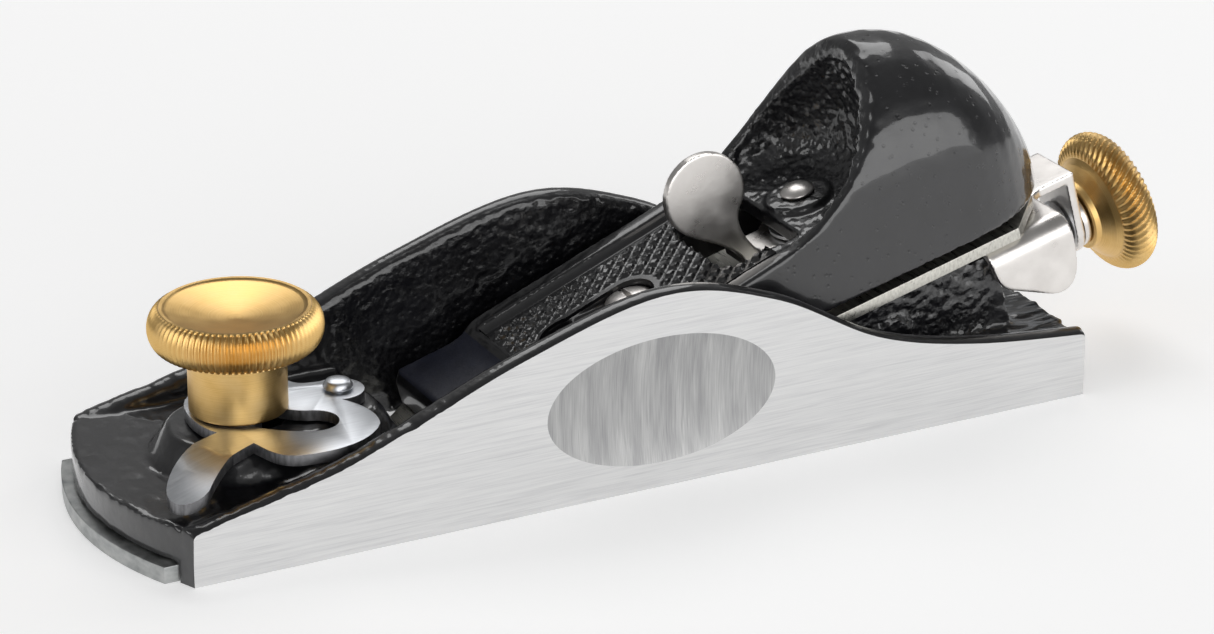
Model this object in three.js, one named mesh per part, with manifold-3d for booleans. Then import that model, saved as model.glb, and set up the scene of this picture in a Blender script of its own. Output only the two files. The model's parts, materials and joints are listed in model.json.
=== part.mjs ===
// Low-angle block plane with an adjustable mouth, as an assembly of its separate pieces.
// Millimetres. +X runs from the toe to the heel, +Z is up, and the origin is the middle of the sole.
// "Station" means distance behind the toe end of the cheeks. The blade, the cap and the adjuster are
// drawn in the bed frame: its X runs up the bed from the cutting edge, and its Z stands square to it.
import * as THREE from 'three';
import { mergeVertices } from 'three/addons/utils/BufferGeometryUtils.js';
import Module from 'manifold-3d';

const wasm = await Module();
wasm.setup();

const degrees = THREE.MathUtils.degToRad;

// --- Driving dimensions -----------------------------------------------------------------------

const REST_GAP = 0.3;            // between pieces that rest on each other
const CUT_MARGIN = 5;            // how far a cutting solid runs past the face that it cuts
const ROUND_STEPS = 48;          // facets round a turned piece
const HOLE_STEPS = 32;

// Blade and bed
const BED_ANGLE = degrees(15);
const BED_LENGTH = 100;          // cutting edge to the bed's rear face
const BED_FRONT_LENGTH = 32;     // stretch of the bed that runs from cheek to cheek
const BLADE_WIDTH = 35.2;
const BLADE_THICKNESS = 2;
const BLADE_OVERHANG = 11;       // blade past the bed's rear face
const BLADE_CORNER = 7.5;        // chamfer of the blade's rear corners
const BEVEL_ANGLE = degrees(25);

// Body casting
const CHEEK_WALL = 4;
const SIDE_ROOM = 3.8;           // blade to cheek
const EDGE_STATION = 50.6;       // toe end of the cheeks to the cutting edge
const HEEL_LENGTH = 11.8;        // bed's rear face to the heel end of the cheeks
const SOLE_THICKNESS = 4;
const TOE_HEIGHT = 8;
const CROWN_HEIGHT = 32;
const CROWN_STATION = 80;
const HEEL_HEIGHT = 10;
const TOE_BULGE = 7.1;
const HEEL_BULGE = 1.8;
const DECK_HEIGHT = 9.2;
const TOE_BLOCK_STATION = 43.8;   // rear face of the toe block
const BOSS_HEIGHT = 13.9;
const BOSS_RADIUS = 11;
const BOSS_FOOT = 3.4;           // how far the toe boss spreads at its foot
const POST_HALF_WIDTH = BLADE_WIDTH / 2 - 3;
const POST_STUD_RADIUS = 3.3;     // boss on each side of the post, for the pivot pin
const POST_STUD_PLACE = 77.7;     // cutting edge to the boss
const POST_STUD_HEIGHT = 12.3;
const POST_STUD_RISE = 0.9;
const DISH_LENGTH = 40.6;        // finger dish ground into each cheek
const DISH_HEIGHT = 21.4;
const DISH_DEPTH = 1.1;
const DISH_STATION = 79.5;
const DISH_CENTRE_HEIGHT = 15;

// Sliding mouth plate, its stud and its eccentric lever
const MOUTH_OPENING = 4.9;       // plate's rear edge to the cutting edge, mouth open
const MOUTH_TRAVEL = 3.2;
const MOUTH_PLATE_THICKNESS = 2.8;
const LIP_REACH = 1.6;           // lip past the toe
const RAIL_WIDTH = 3.1;          // sole left each side of the plate
const STUD_RADIUS = 3.5;
const STUD_FLANGE_RADIUS = 5.6;
const STUD_FLANGE_THICKNESS = 1.2;
const KNOB_STATION = 18;
const RIVET_STATION = 34.9;
const LEVER_THICKNESS = 1.8;
const LEVER_SWING = degrees(38);
const SLOT_RUN = 1.3;            // the lever's slot runs past the end of the swing by this share
const SLOT_CLEARANCE = 0.45;
const FINGER_REACH = 33;         // rivet to the middle of the finger's tip, along the plane
const FINGER_ROOM = 4.9;         // from there to the cheek
const FINGER_BEND = 29;          // rivet to where the finger starts to bend down
const FINGER_SLOPE = 0.4;
const FINGER_STEP = 2;
const SMALL_RIVET_RADIUS = 1.4;
const SMALL_RIVET_HEAD = 2.4;

// Front knob
const KNOB_RADIUS = 13.8;
const KNOB_STEM_RADIUS = 7.8;
const KNOB_STEM_HEIGHT = 10.4;
const KNOB_HEAD_HEIGHT = 6.8;
const KNOB_DISH_DEPTH = 2.2;

// Lever cap, bed frame
const CAP_START = 3.6;
const CAP_HALF_WIDTH = BLADE_WIDTH / 2;
const CAP_HEM = 3.6;             // height of the cap's side edge over the blade's underside
const PAD_END = 17;
const PAD_HEIGHT = 8.4;
const RAIL_START_HEIGHT = 10.3;
const RAIL_END = 57;
const RAIL_END_HEIGHT = 15.6;
const RAIL_LEDGE = 3.2;          // width of the rails beside the panel
const PANEL_DEPTH = 1.4;
const PANEL_END = 52;
const CAP_WALL = 3.2;
const DOME_START = 87.5;
const DOME_HEIGHT = 38;
const DOME_HALF_WIDTH = 18;
const DOME_LENGTH = 27.6;
const DOME_SHOULDER = 0.47;      // share of the dome's height where its sides turn inwards
const HOLLOW_FLOOR = 14.8;
const HOLLOW_WALL = 2.2;
const FLOOR_UNDERSIDE = 11.3;
const POCKET_START = 54;
const POCKET_END = 68;
const POCKET_HALF_WIDTH = 10.4;

// Cap screw and keyhole, bed frame
const SCREW_PLACE = 40.5;
const CAP_TRAVEL = 12;
const SCREW_RADIUS = 2.8;
const SCREW_HEAD_RADIUS = 4.1;
const SCREW_HEAD_HEIGHT = 2.4;
const SCREW_DEPTH = 7.5;
const SCREW_SEAT = 9.6;
const ROUND_FIT = 0.35;          // radial gap round shanks and pins

// Cam lever, bed frame
const CAM_PLACE = 74;
const CAM_THICKNESS = 1.6;
const CAM_PLATE_RADIUS = 8;
const CAM_FOOT_RADIUS = 5;
const CAM_RIVET_RADIUS = 1.8;
const CAM_RIVET_HEAD = 2.9;
const CAM_WASHER_THICKNESS = 0.6;
const CAM_BOSS_RADIUS = 5.6;
const CAM_BOSS_HEIGHT = 16;
const PADDLE_RADIUS = 7.2;
const PADDLE_PLACE = 57;
const PADDLE_HEIGHT = 24.2;
const PADDLE_NECK_ANGLE = degrees(-43);   // where the disc meets its neck
const PADDLE_FACE = -2.5;        // the paddle's near face, across the plane

// Lateral lever and depth adjuster, bed frame
const LATERAL_THICKNESS = 1.6;
const LATERAL_PIVOT = BED_LENGTH - 26;
const LATERAL_NECK = 8.4;
const PIVOT_PIN_RADIUS = 2.8;
const EAR_DEPTH = 13.2;
const EAR_FOLD = 3.4;            // outside radius of the fold
const EAR_START = BED_LENGTH - 3;
const EAR_END = BED_LENGTH + 13;
const TONGUE_FACE = BED_LENGTH + 22;
const TONGUE_HALF_WIDTH = 5.6;
const SPINDLE_DEPTH = 11.7;      // spindle's axis below the blade
const SPINDLE_RADIUS = 2.4;
const NUT_PLACE = BED_LENGTH - 8;
const NUT_LENGTH = 8;
const NUT_HALF_WIDTH = 6.2;
const NUT_DEPTH = 4.4;           // nut below the spindle's axis
const ADJUST_FORWARD = 1;
const ADJUST_BACK = 4;
const PIP_RADIUS = 1.1;
const PIP_RISE = 0.9;
const GROOVE_DEPTH = 1.2;
const GROOVE_PITCH = 4;
const GROOVE_COUNT = 5;
const WASHER_THICKNESS = 1.2;
const WASHER_RADIUS = 5.2;
const COLLAR_RADIUS = 4.4;
const COLLAR_LENGTH = 1.4;
const WHEEL_RADIUS = 12.6;
const WHEEL_HUB_RADIUS = 6.2;
const WHEEL_WIDTH = 9.8;

// --- Sizes that follow from them --------------------------------------------------------------

const BODY_WIDTH = BLADE_WIDTH + 2 * (SIDE_ROOM + CHEEK_WALL);
const BODY_LENGTH = EDGE_STATION + BED_LENGTH * Math.cos(BED_ANGLE) + HEEL_LENGTH;
const HALF_WIDTH = BODY_WIDTH / 2;
const INNER_HALF_WIDTH = HALF_WIDTH - CHEEK_WALL;
const PLATE_HALF_WIDTH = HALF_WIDTH - RAIL_WIDTH - REST_GAP;
const fromToe = (station) => station - BODY_LENGTH / 2;
const KNOB_X = fromToe(KNOB_STATION);
const RIVET_X = fromToe(RIVET_STATION);
const LEVER_BOTTOM = BOSS_HEIGHT + REST_GAP;
const LEVER_TOP = LEVER_BOTTOM + LEVER_THICKNESS;
const STUD_TOP = LEVER_TOP + REST_GAP + KNOB_STEM_HEIGHT;
const CAP_SEAT = BLADE_THICKNESS + REST_GAP;
const FINGER_SIDE = INNER_HALF_WIDTH - FINGER_ROOM;
const CAM_TOP = FLOOR_UNDERSIDE - 2 * REST_GAP - CAM_WASHER_THICKNESS;
const CAM_BOTTOM = CAM_TOP - CAM_THICKNESS;
const LATERAL_TOP = -REST_GAP;
const LATERAL_BOTTOM = LATERAL_TOP - LATERAL_THICKNESS;
const EAR_FACE = BLADE_WIDTH / 2;
const NUT_TOP = LATERAL_BOTTOM - REST_GAP;
const NUT_BOTTOM = -SPINDLE_DEPTH - NUT_DEPTH;
const WHEEL_FRONT = TONGUE_FACE + WASHER_THICKNESS + 2 * REST_GAP;

const bedFrame = new THREE.Matrix4()
  .makeTranslation(fromToe(EDGE_STATION), 0, 0)
  .multiply(new THREE.Matrix4().makeRotationY(-BED_ANGLE));

// --- Building helpers -------------------------------------------------------------------------

function toSolid(geometry) {
  const bare = geometry.clone();
  bare.deleteAttribute('normal');
  bare.deleteAttribute('uv');
  const merged = mergeVertices(bare, 1e-4);
  return new wasm.Manifold(new wasm.Mesh({
    numProp: 3,
    vertProperties: new Float32Array(merged.attributes.position.array),
    triVerts: new Uint32Array(merged.index.array),
  }));
}

const join = (...solids) => solids.reduce((whole, piece) => whole.add(piece));
const cut = (solid, ...tools) => tools.reduce((whole, tool) => whole.subtract(tool), solid);
const inBedFrame = (geometry) => toSolid(geometry.applyMatrix4(bedFrame));

// An outline in the XY plane, between two heights.
function slab(shape, low, high, steps = 12) {
  const settings = { depth: high - low, bevelEnabled: false, curveSegments: steps };
  return new THREE.ExtrudeGeometry(shape, settings).translate(0, 0, low);
}

// An outline in the XZ plane, between two values of Y.
function sideSlab(shape, low, high, steps = 12) {
  return slab(shape, -high, -low, steps).rotateX(Math.PI / 2);
}

// An outline in the YZ plane, between two values of X.
function crossSlab(shape, low, high, steps = 12) {
  return slab(shape, low, high, steps).rotateX(Math.PI / 2).rotateZ(Math.PI / 2);
}

function outline(points) {
  return new THREE.Shape(points.map(([x, y]) => new THREE.Vector2(x, y)));
}

function box(lowX, highX, lowY, highY, lowZ, highZ) {
  return new THREE.BoxGeometry(highX - lowX, highY - lowY, highZ - lowZ)
    .translate((lowX + highX) / 2, (lowY + highY) / 2, (lowZ + highZ) / 2);
}

// A round bar standing along Z.
function rod(radius, low, high, x = 0, y = 0, steps = HOLE_STEPS) {
  return new THREE.CylinderGeometry(radius, radius, high - low, steps)
    .rotateX(Math.PI / 2)
    .translate(x, y, (low + high) / 2);
}

// A profile of [radius, height] pairs, turned about the Z axis.
function turned(profile, steps = ROUND_STEPS) {
  const points = profile.map(([radius, height]) => new THREE.Vector2(radius, height));
  return new THREE.LatheGeometry(points, steps).rotateX(Math.PI / 2);
}

// Turns a piece that stands along Z so that it points along +X.
const alongX = (geometry) => geometry.rotateY(Math.PI / 2);

// A slot with round ends, lying along X.
function slotShape(start, end, radius) {
  const shape = new THREE.Shape();
  shape.absarc(start, 0, radius, Math.PI / 2, -Math.PI / 2, false);
  shape.absarc(end, 0, radius, -Math.PI / 2, Math.PI / 2, false);
  shape.closePath();
  return shape;
}

// A closed skin through rings of points, each ring seen anticlockwise from the end of the row.
function loft(rings) {
  const count = rings[0].length;
  const positions = rings.flat().flatMap((point) => [point.x, point.y, point.z]);
  const faces = [];
  const corner = (ring, index) => ring * count + (index % count);
  for (let ring = 0; ring < rings.length - 1; ring += 1) {
    for (let index = 0; index < count; index += 1) {
      faces.push(corner(ring, index), corner(ring, index + 1), corner(ring + 1, index + 1));
      faces.push(corner(ring, index), corner(ring + 1, index + 1), corner(ring + 1, index));
    }
  }
  for (const [ring, flip] of [[0, true], [rings.length - 1, false]]) {
    const middle = new THREE.Vector3();
    rings[ring].forEach((point) => middle.add(point));
    middle.divideScalar(count);
    const centre = positions.length / 3;
    positions.push(middle.x, middle.y, middle.z);
    for (let index = 0; index < count; index += 1) {
      const pair = [corner(ring, index), corner(ring, index + 1)];
      faces.push(centre, ...(flip ? pair.reverse() : pair));
    }
  }
  const geometry = new THREE.BufferGeometry();
  geometry.setAttribute('position', new THREE.Float32BufferAttribute(positions, 3));
  geometry.setIndex(faces);
  return geometry;
}

function spaced(start, end, count) {
  return Array.from({ length: count + 1 }, (_, index) => start + ((end - start) * index) / count);
}

// A smooth line through chosen points, read as a height over a place.
function heightLine(points) {
  const curve = new THREE.SplineCurve(points.map(([x, y]) => new THREE.Vector2(x, y)));
  const samples = curve.getPoints(points.length * 20);
  return (place) => {
    const next = samples.findIndex((sample) => sample.x >= place);
    if (next === 0) return samples[0].y;
    if (next < 0) return samples[samples.length - 1].y;
    const [before, after] = [samples[next - 1], samples[next]];
    return before.y + ((after.y - before.y) * (place - before.x)) / (after.x - before.x);
  };
}

const finishes = {
  enamel: { color: 0x0b0b0d, roughness: 0.3, metalness: 0.1 },
  groundIron: { color: 0xb9babb, roughness: 0.35, metalness: 0.9 },
  toolSteel: { color: 0xb0b0a8, roughness: 0.3, metalness: 0.95 },
  sheetSteel: { color: 0xa5a9ad, roughness: 0.35, metalness: 0.95 },
  nickel: { color: 0xd6d2cb, roughness: 0.18, metalness: 1 },
  brass: { color: 0xc79a4b, roughness: 0.32, metalness: 1 },
};

function piece(name, solid, finish) {
  const { vertProperties, triVerts } = solid.getMesh();
  const geometry = new THREE.BufferGeometry();
  geometry.setAttribute('position', new THREE.Float32BufferAttribute(vertProperties, 3));
  geometry.setIndex(new THREE.Uint32BufferAttribute(triVerts, 1));
  geometry.computeVertexNormals();
  const mesh = new THREE.Mesh(geometry, new THREE.MeshStandardMaterial(finishes[finish]));
  mesh.name = name;
  return mesh;
}

// --- Body casting -----------------------------------------------------------------------------

const cheekEdge = heightLine([
  [-TOE_BULGE, TOE_HEIGHT - 1.2],
  [0, TOE_HEIGHT],
  [CROWN_STATION - 53, TOE_HEIGHT + 6.5],
  [CROWN_STATION - 25, CROWN_HEIGHT - 6.5],
  [CROWN_STATION, CROWN_HEIGHT],
  [CROWN_STATION + 20, CROWN_HEIGHT - 4.5],
  [CROWN_STATION + 39, HEEL_HEIGHT + 7.4],
  [CROWN_STATION + 58, HEEL_HEIGHT + 2.6],
  [BODY_LENGTH + HEEL_BULGE + 1, HEEL_HEIGHT],
]);

// The body seen from above: straight cheeks, and a bowed toe and heel.
function bodyPlan() {
  const toe = fromToe(0);
  const heel = fromToe(BODY_LENGTH);
  const shape = new THREE.Shape();
  shape.moveTo(toe, HALF_WIDTH);
  shape.quadraticCurveTo(toe - 2 * TOE_BULGE, 0, toe, -HALF_WIDTH);
  shape.lineTo(heel, -HALF_WIDTH);
  shape.quadraticCurveTo(heel + 2 * HEEL_BULGE, 0, heel, HALF_WIDTH);
  shape.closePath();
  return shape;
}

// One cheek: a flat outer face, a rounded top edge and a flat inner face.
function cheek(side) {
  const crownRise = 1.4;
  const section = (station) => {
    const edge = cheekEdge(station);
    const across = [
      [HALF_WIDTH, 0],
      [HALF_WIDTH, edge],
      [HALF_WIDTH - 0.5, edge + 0.8 * crownRise],
      [HALF_WIDTH - CHEEK_WALL / 2, edge + crownRise],
      [INNER_HALF_WIDTH + 0.5, edge + 0.6 * crownRise],
      [INNER_HALF_WIDTH, edge - 0.4],
      [INNER_HALF_WIDTH, 0],
    ];
    const ring = across.map(([y, z]) => new THREE.Vector3(fromToe(station), side * y, z));
    return side > 0 ? ring : ring.reverse();
  };
  return loft(spaced(-TOE_BULGE, BODY_LENGTH + HEEL_BULGE, 64).map(section));
}

// The toe's boss: two circles joined by their tangents, spreading out to a wider foot.
function toeBoss() {
  const rearRadius = BOSS_RADIUS / 2;
  const lean = Math.acos((BOSS_RADIUS - rearRadius) / (RIVET_X - KNOB_X));
  const ring = (outset, height) => spaced(0, 2 * Math.PI, ROUND_STEPS).slice(0, -1).map((angle) => {
    const isRear = Math.cos(angle) > Math.cos(lean);
    const radius = (isRear ? rearRadius : BOSS_RADIUS) + outset;
    const centre = isRear ? RIVET_X : KNOB_X;
    return new THREE.Vector3(centre + radius * Math.cos(angle), radius * Math.sin(angle), height);
  });
  return loft([
    ring(BOSS_FOOT, SOLE_THICKNESS),
    ring(BOSS_FOOT, DECK_HEIGHT),
    ring(BOSS_FOOT / 2, BOSS_HEIGHT - 1.8),
    ring(0.6, BOSS_HEIGHT - 0.4),
    ring(0, BOSS_HEIGHT),
  ]);
}

// The ramp that the blade lies on, seen from the side, in the bed frame.
function bedRamp(start, end) {
  const floor = (place) => -place * Math.tan(BED_ANGLE);
  return outline([
    [start, -REST_GAP],
    [start, floor(start) + 0.2],
    [end, floor(end) + 0.2],
    [end, -REST_GAP],
  ]);
}

function heelDeck() {
  const start = EDGE_STATION + (BED_LENGTH - 20) * Math.cos(BED_ANGLE);
  return outline([
    [fromToe(start), SOLE_THICKNESS / 2],
    [fromToe(BODY_LENGTH + HEEL_BULGE), SOLE_THICKNESS / 2],
    [fromToe(BODY_LENGTH + HEEL_BULGE), HEEL_HEIGHT],
    [fromToe(start + 10), HEEL_HEIGHT],
    [fromToe(start), SOLE_THICKNESS + 1],
  ]);
}

// The finger dish: a shollow slice of a large ellipsoid, cut into the outside of a cheek.
function fingerDish(side) {
  const roundness = 8;
  const sag = 1 - Math.sqrt(1 - 1 / roundness);
  const reach = DISH_DEPTH / sag;
  const spread = Math.sqrt(roundness);
  return new THREE.SphereGeometry(1, 56, 40)
    .scale((DISH_LENGTH / 2) * spread, reach, (DISH_HEIGHT / 2) * spread)
    .translate(fromToe(DISH_STATION), side * (HALF_WIDTH + reach - DISH_DEPTH), DISH_CENTRE_HEIGHT);
}

// Space under and through the toe for the mouth plate, and the mouth itself.
function mouthCuts() {
  const ceiling = MOUTH_PLATE_THICKNESS + REST_GAP;
  const front = fromToe(-TOE_BULGE) - CUT_MARGIN;
  const throat = fromToe(TOE_BLOCK_STATION);
  const rear = fromToe(EDGE_STATION + 2);
  const halfWidth = PLATE_HALF_WIDTH + REST_GAP;
  const slot = slotShape(KNOB_X, KNOB_X + MOUTH_TRAVEL, STUD_RADIUS + SLOT_CLEARANCE);
  return [
    toSolid(box(front, rear, -halfWidth, halfWidth, -CUT_MARGIN, ceiling)),
    toSolid(box(throat, rear, -INNER_HALF_WIDTH, INNER_HALF_WIDTH, 0, SOLE_THICKNESS + 1)),
    toSolid(slab(slot, 0, BOSS_HEIGHT + CUT_MARGIN)),
  ];
}

// Everything let into the bed: screw hole, lateral lever's recess and pin, and the nut's channel.
function bedCuts() {
  const recess = LATERAL_BOTTOM - REST_GAP;
  const neck = LATERAL_NECK + 1.6;
  const channelStart = NUT_PLACE - NUT_LENGTH / 2 - ADJUST_FORWARD - 2;
  const channelHalfWidth = NUT_HALF_WIDTH + 1.6;
  const past = BED_LENGTH + CUT_MARGIN;
  return [
    inBedFrame(rod(SCREW_RADIUS + ROUND_FIT, -SCREW_DEPTH - 1, 1, SCREW_PLACE)),
    inBedFrame(slab(slotShape(LATERAL_PIVOT, past, neck), recess, CUT_MARGIN)),
    inBedFrame(box(EAR_START - 2.5, past, -HALF_WIDTH, HALF_WIDTH, recess, CUT_MARGIN)),
    inBedFrame(box(channelStart, past, -channelHalfWidth, channelHalfWidth, NUT_BOTTOM - 0.8, 1)),
    inBedFrame(rod(PIVOT_PIN_RADIUS + ROUND_FIT, recess - 8, 1, LATERAL_PIVOT)),
  ];
}

function bodyCasting() {
  const plan = toSolid(slab(bodyPlan(), -1, CROWN_HEIGHT + CUT_MARGIN, 24));
  const toe = fromToe(-TOE_BULGE);
  const heel = fromToe(BODY_LENGTH + HEEL_BULGE);
  const inner = INNER_HALF_WIDTH + 0.5;
  const rearSole = fromToe(EDGE_STATION) + (SOLE_THICKNESS + 2 * REST_GAP) / Math.tan(BED_ANGLE);
  const postStart = BED_FRONT_LENGTH - 2;
  const studReach = POST_HALF_WIDTH + POST_STUD_RISE;
  const studX = fromToe(EDGE_STATION + POST_STUD_PLACE);
  const studs = rod(POST_STUD_RADIUS, -studReach, studReach).rotateX(Math.PI / 2);
  const whole = join(
    toSolid(box(rearSole, heel, -inner, inner, 0, SOLE_THICKNESS)),
    toSolid(box(toe, fromToe(TOE_BLOCK_STATION), -inner, inner, 0, DECK_HEIGHT)),
    toSolid(cheek(1)),
    toSolid(cheek(-1)),
    toSolid(toeBoss()),
    toSolid(sideSlab(heelDeck(), -inner, inner)),
    inBedFrame(sideSlab(bedRamp(2, BED_FRONT_LENGTH), -inner, inner)),
    inBedFrame(sideSlab(bedRamp(postStart, BED_LENGTH), -POST_HALF_WIDTH, POST_HALF_WIDTH)),
    toSolid(studs.translate(studX, 0, POST_STUD_HEIGHT)),
  ).intersect(plan);
  const rivetHole = toSolid(rod(SMALL_RIVET_RADIUS + ROUND_FIT, BOSS_HEIGHT - 6, BOSS_HEIGHT + 1, RIVET_X));
  const dishes = [toSolid(fingerDish(1)), toSolid(fingerDish(-1))];
  return cut(whole, ...mouthCuts(), ...bedCuts(), rivetHole, ...dishes);
}

// --- Sliding toe: plate, stud, lever, rivet and knob -------------------------------------------

function mouthPlate() {
  const lip = fromToe(-TOE_BULGE) - LIP_REACH;
  const shoulder = fromToe(0) - LIP_REACH - 2.2;
  const rear = fromToe(EDGE_STATION - MOUTH_OPENING);
  const shape = new THREE.Shape();
  shape.moveTo(shoulder, PLATE_HALF_WIDTH);
  shape.quadraticCurveTo(2 * lip - shoulder, 0, shoulder, -PLATE_HALF_WIDTH);
  shape.lineTo(rear, -PLATE_HALF_WIDTH);
  shape.lineTo(rear, PLATE_HALF_WIDTH);
  shape.closePath();
  const plate = toSolid(slab(shape, 0, MOUTH_PLATE_THICKNESS, 32));
  const hole = toSolid(rod(STUD_RADIUS + ROUND_FIT, -1, MOUTH_PLATE_THICKNESS + 1, KNOB_X));
  const seat = toSolid(rod(STUD_FLANGE_RADIUS + ROUND_FIT, -1, STUD_FLANGE_THICKNESS + REST_GAP, KNOB_X));
  return cut(plate, hole, seat);
}

// The stud is headed under the plate and stands up through the deck's slot.
function mouthStud() {
  return toSolid(turned([
    [0, 0],
    [STUD_FLANGE_RADIUS, 0],
    [STUD_FLANGE_RADIUS, STUD_FLANGE_THICKNESS],
    [STUD_RADIUS, STUD_FLANGE_THICKNESS],
    [STUD_RADIUS, STUD_TOP - 1],
    [STUD_RADIUS - 0.8, STUD_TOP],
    [0, STUD_TOP],
  ], HOLE_STEPS));
}

// The stud's path in the lever's own frame, about the rivet. It closes on the rivet at a steady
// rate as the lever swings, so the plate's slide keeps a constant ratio to the swing.
function slotPoint(share, offset) {
  const reach = RIVET_X - KNOB_X - MOUTH_TRAVEL * share;
  const angle = Math.PI + LEVER_SWING * share;
  const lean = Math.atan2(MOUTH_TRAVEL / LEVER_SWING, reach);
  const along = new THREE.Vector2(Math.cos(angle), Math.sin(angle));
  const out = new THREE.Vector2(Math.cos(angle + lean), Math.sin(angle + lean));
  return along.multiplyScalar(reach).addScaledVector(out, offset);
}

function leverSlot() {
  const halfWidth = STUD_RADIUS + SLOT_CLEARANCE;
  const shares = spaced(0, SLOT_RUN, 14);
  const outer = shares.map((share) => slotPoint(share, halfWidth));
  const inner = shares.map((share) => slotPoint(share, -halfWidth)).reverse();
  const path = toSolid(slab(new THREE.Shape([...outer, ...inner]), -1, LEVER_THICKNESS + 1));
  const ends = [slotPoint(0, 0), slotPoint(SLOT_RUN, 0)].map(({ x, y }) => (
    toSolid(rod(halfWidth, -1, LEVER_THICKNESS + 1, x, y))
  ));
  return join(path, ...ends);
}

// Flat blank round the slot, with a finger whose tip is bent down; drawn about the rivet.
function eccentricLever() {
  const side = -FINGER_SIDE;
  const shape = new THREE.Shape();
  shape.moveTo(-19.9, side + 3.3);
  shape.bezierCurveTo(-19, side, -18.6, side - 3.5, -15, side - 4.3);
  shape.bezierCurveTo(-9, side - 5.5, -3, side - 4, 0.4, side + 1.2);
  shape.bezierCurveTo(1.8, side + 4.5, 1.2, -7.5, -1.2, -4);
  shape.absarc(0, 0, 4.2, -1.87, 1.9, false);
  shape.bezierCurveTo(-4, 4.4, -5.2, 4.4, -6, 7.4);
  shape.bezierCurveTo(-9, 10.8, -18, 12, -22.2, 8);
  shape.bezierCurveTo(-25.6, 5, -25.6, -3.4, -23.4, -7);
  shape.bezierCurveTo(-27.6, -8.8, -32.2, side + 5.8, -34.8, side + 1.7);
  shape.bezierCurveTo(-38, side - 2.9, -34.2, side - 7.1, -30.6, side - 4.7);
  shape.bezierCurveTo(-27.2, side - 0.9, -23.8, side + 1.3, -19.9, side + 3.3);
  const hole = toSolid(rod(SMALL_RIVET_RADIUS + ROUND_FIT, -1, LEVER_THICKNESS + 1));
  const flat = cut(toSolid(slab(shape, 0, LEVER_THICKNESS, 10)), leverSlot(), hole);
  const fingerLine = new THREE.Vector2(-FINGER_REACH, -FINGER_SIDE).normalize();
  const [tip, root] = flat.splitByPlane([fingerLine.x, fingerLine.y, 0], FINGER_BEND);
  const bentTip = tip.refineToLength(FINGER_STEP).warp((vertex) => {
    const past = vertex[0] * fingerLine.x + vertex[1] * fingerLine.y - FINGER_BEND;
    vertex[2] -= FINGER_SLOPE * Math.max(0, past) ** 2 / (past + FINGER_STEP);
  });
  return join(root, bentTip);
}

function eccentricRivet() {
  const shank = LEVER_TOP + REST_GAP;
  const head = 1.5;
  return toSolid(turned([
    [0, BOSS_HEIGHT - 5],
    [SMALL_RIVET_RADIUS, BOSS_HEIGHT - 5],
    [SMALL_RIVET_RADIUS, shank],
    [SMALL_RIVET_HEAD, shank],
    [SMALL_RIVET_HEAD, shank + 0.3 * head],
    [SMALL_RIVET_HEAD * 0.8, shank + 0.8 * head],
    [SMALL_RIVET_HEAD * 0.4, shank + head],
    [0, shank + head],
  ], HOLE_STEPS));
}

function frontKnob() {
  const bottom = LEVER_TOP + REST_GAP;
  const head = bottom + KNOB_STEM_HEIGHT;
  const top = head + KNOB_HEAD_HEIGHT;
  const middle = (head + top) / 2;
  const bore = STUD_RADIUS + ROUND_FIT;
  return toSolid(turned([
    [bore, bottom],
    [KNOB_STEM_RADIUS, bottom],
    [KNOB_STEM_RADIUS, head],
    [KNOB_RADIUS - 1.5, head],
    [KNOB_RADIUS - 0.3, middle - 1.4],
    [KNOB_RADIUS, middle],
    [KNOB_RADIUS - 0.3, middle + 1.6],
    [KNOB_RADIUS - 1, top - 0.4],
    [KNOB_RADIUS - 1.6, top],
    [KNOB_RADIUS * 0.5, top - KNOB_DISH_DEPTH * 0.62],
    [0, top - KNOB_DISH_DEPTH],
    [0, STUD_TOP + REST_GAP],
    [bore, STUD_TOP + REST_GAP],
    [bore, bottom],
  ]));
}

// --- Blade ------------------------------------------------------------------------------------

function blade() {
  const length = BED_LENGTH + BLADE_OVERHANG;
  const half = BLADE_WIDTH / 2;
  const plan = outline([
    [0, -half],
    [length - BLADE_CORNER, -half],
    [length, -half + BLADE_CORNER],
    [length, half - BLADE_CORNER],
    [length - BLADE_CORNER, half],
    [0, half],
  ]);
  const bevelRun = BLADE_THICKNESS / Math.tan(BEVEL_ANGLE);
  const bevel = outline([
    [-1, -Math.tan(BEVEL_ANGLE)],
    [bevelRun + 1, BLADE_THICKNESS + Math.tan(BEVEL_ANGLE)],
    [-1, BLADE_THICKNESS + Math.tan(BEVEL_ANGLE)],
  ]);
  const slotRadius = SCREW_RADIUS + 2.2;
  const slot = slotShape(SCREW_PLACE - ADJUST_BACK - 2, SCREW_PLACE + CAP_TRAVEL, slotRadius);
  const grooveHalf = PIP_RADIUS + REST_GAP;
  const grooves = spaced(0, GROOVE_COUNT - 1, GROOVE_COUNT - 1).map((index) => {
    const middle = NUT_PLACE + (index - 2) * GROOVE_PITCH;
    return toSolid(box(middle - grooveHalf, middle + grooveHalf, -6, 6, -1, GROOVE_DEPTH));
  });
  return cut(
    toSolid(slab(plan, 0, BLADE_THICKNESS)),
    toSolid(sideSlab(bevel, -BLADE_WIDTH, BLADE_WIDTH)),
    toSolid(slab(slot, -1, BLADE_THICKNESS + 1)),
    ...grooves,
  );
}

// --- Lever cap --------------------------------------------------------------------------------

const railHeight = (place) => (
  RAIL_START_HEIGHT
  + ((RAIL_END_HEIGHT - RAIL_START_HEIGHT) * (place - PAD_END)) / (RAIL_END - PAD_END)
);

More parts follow.
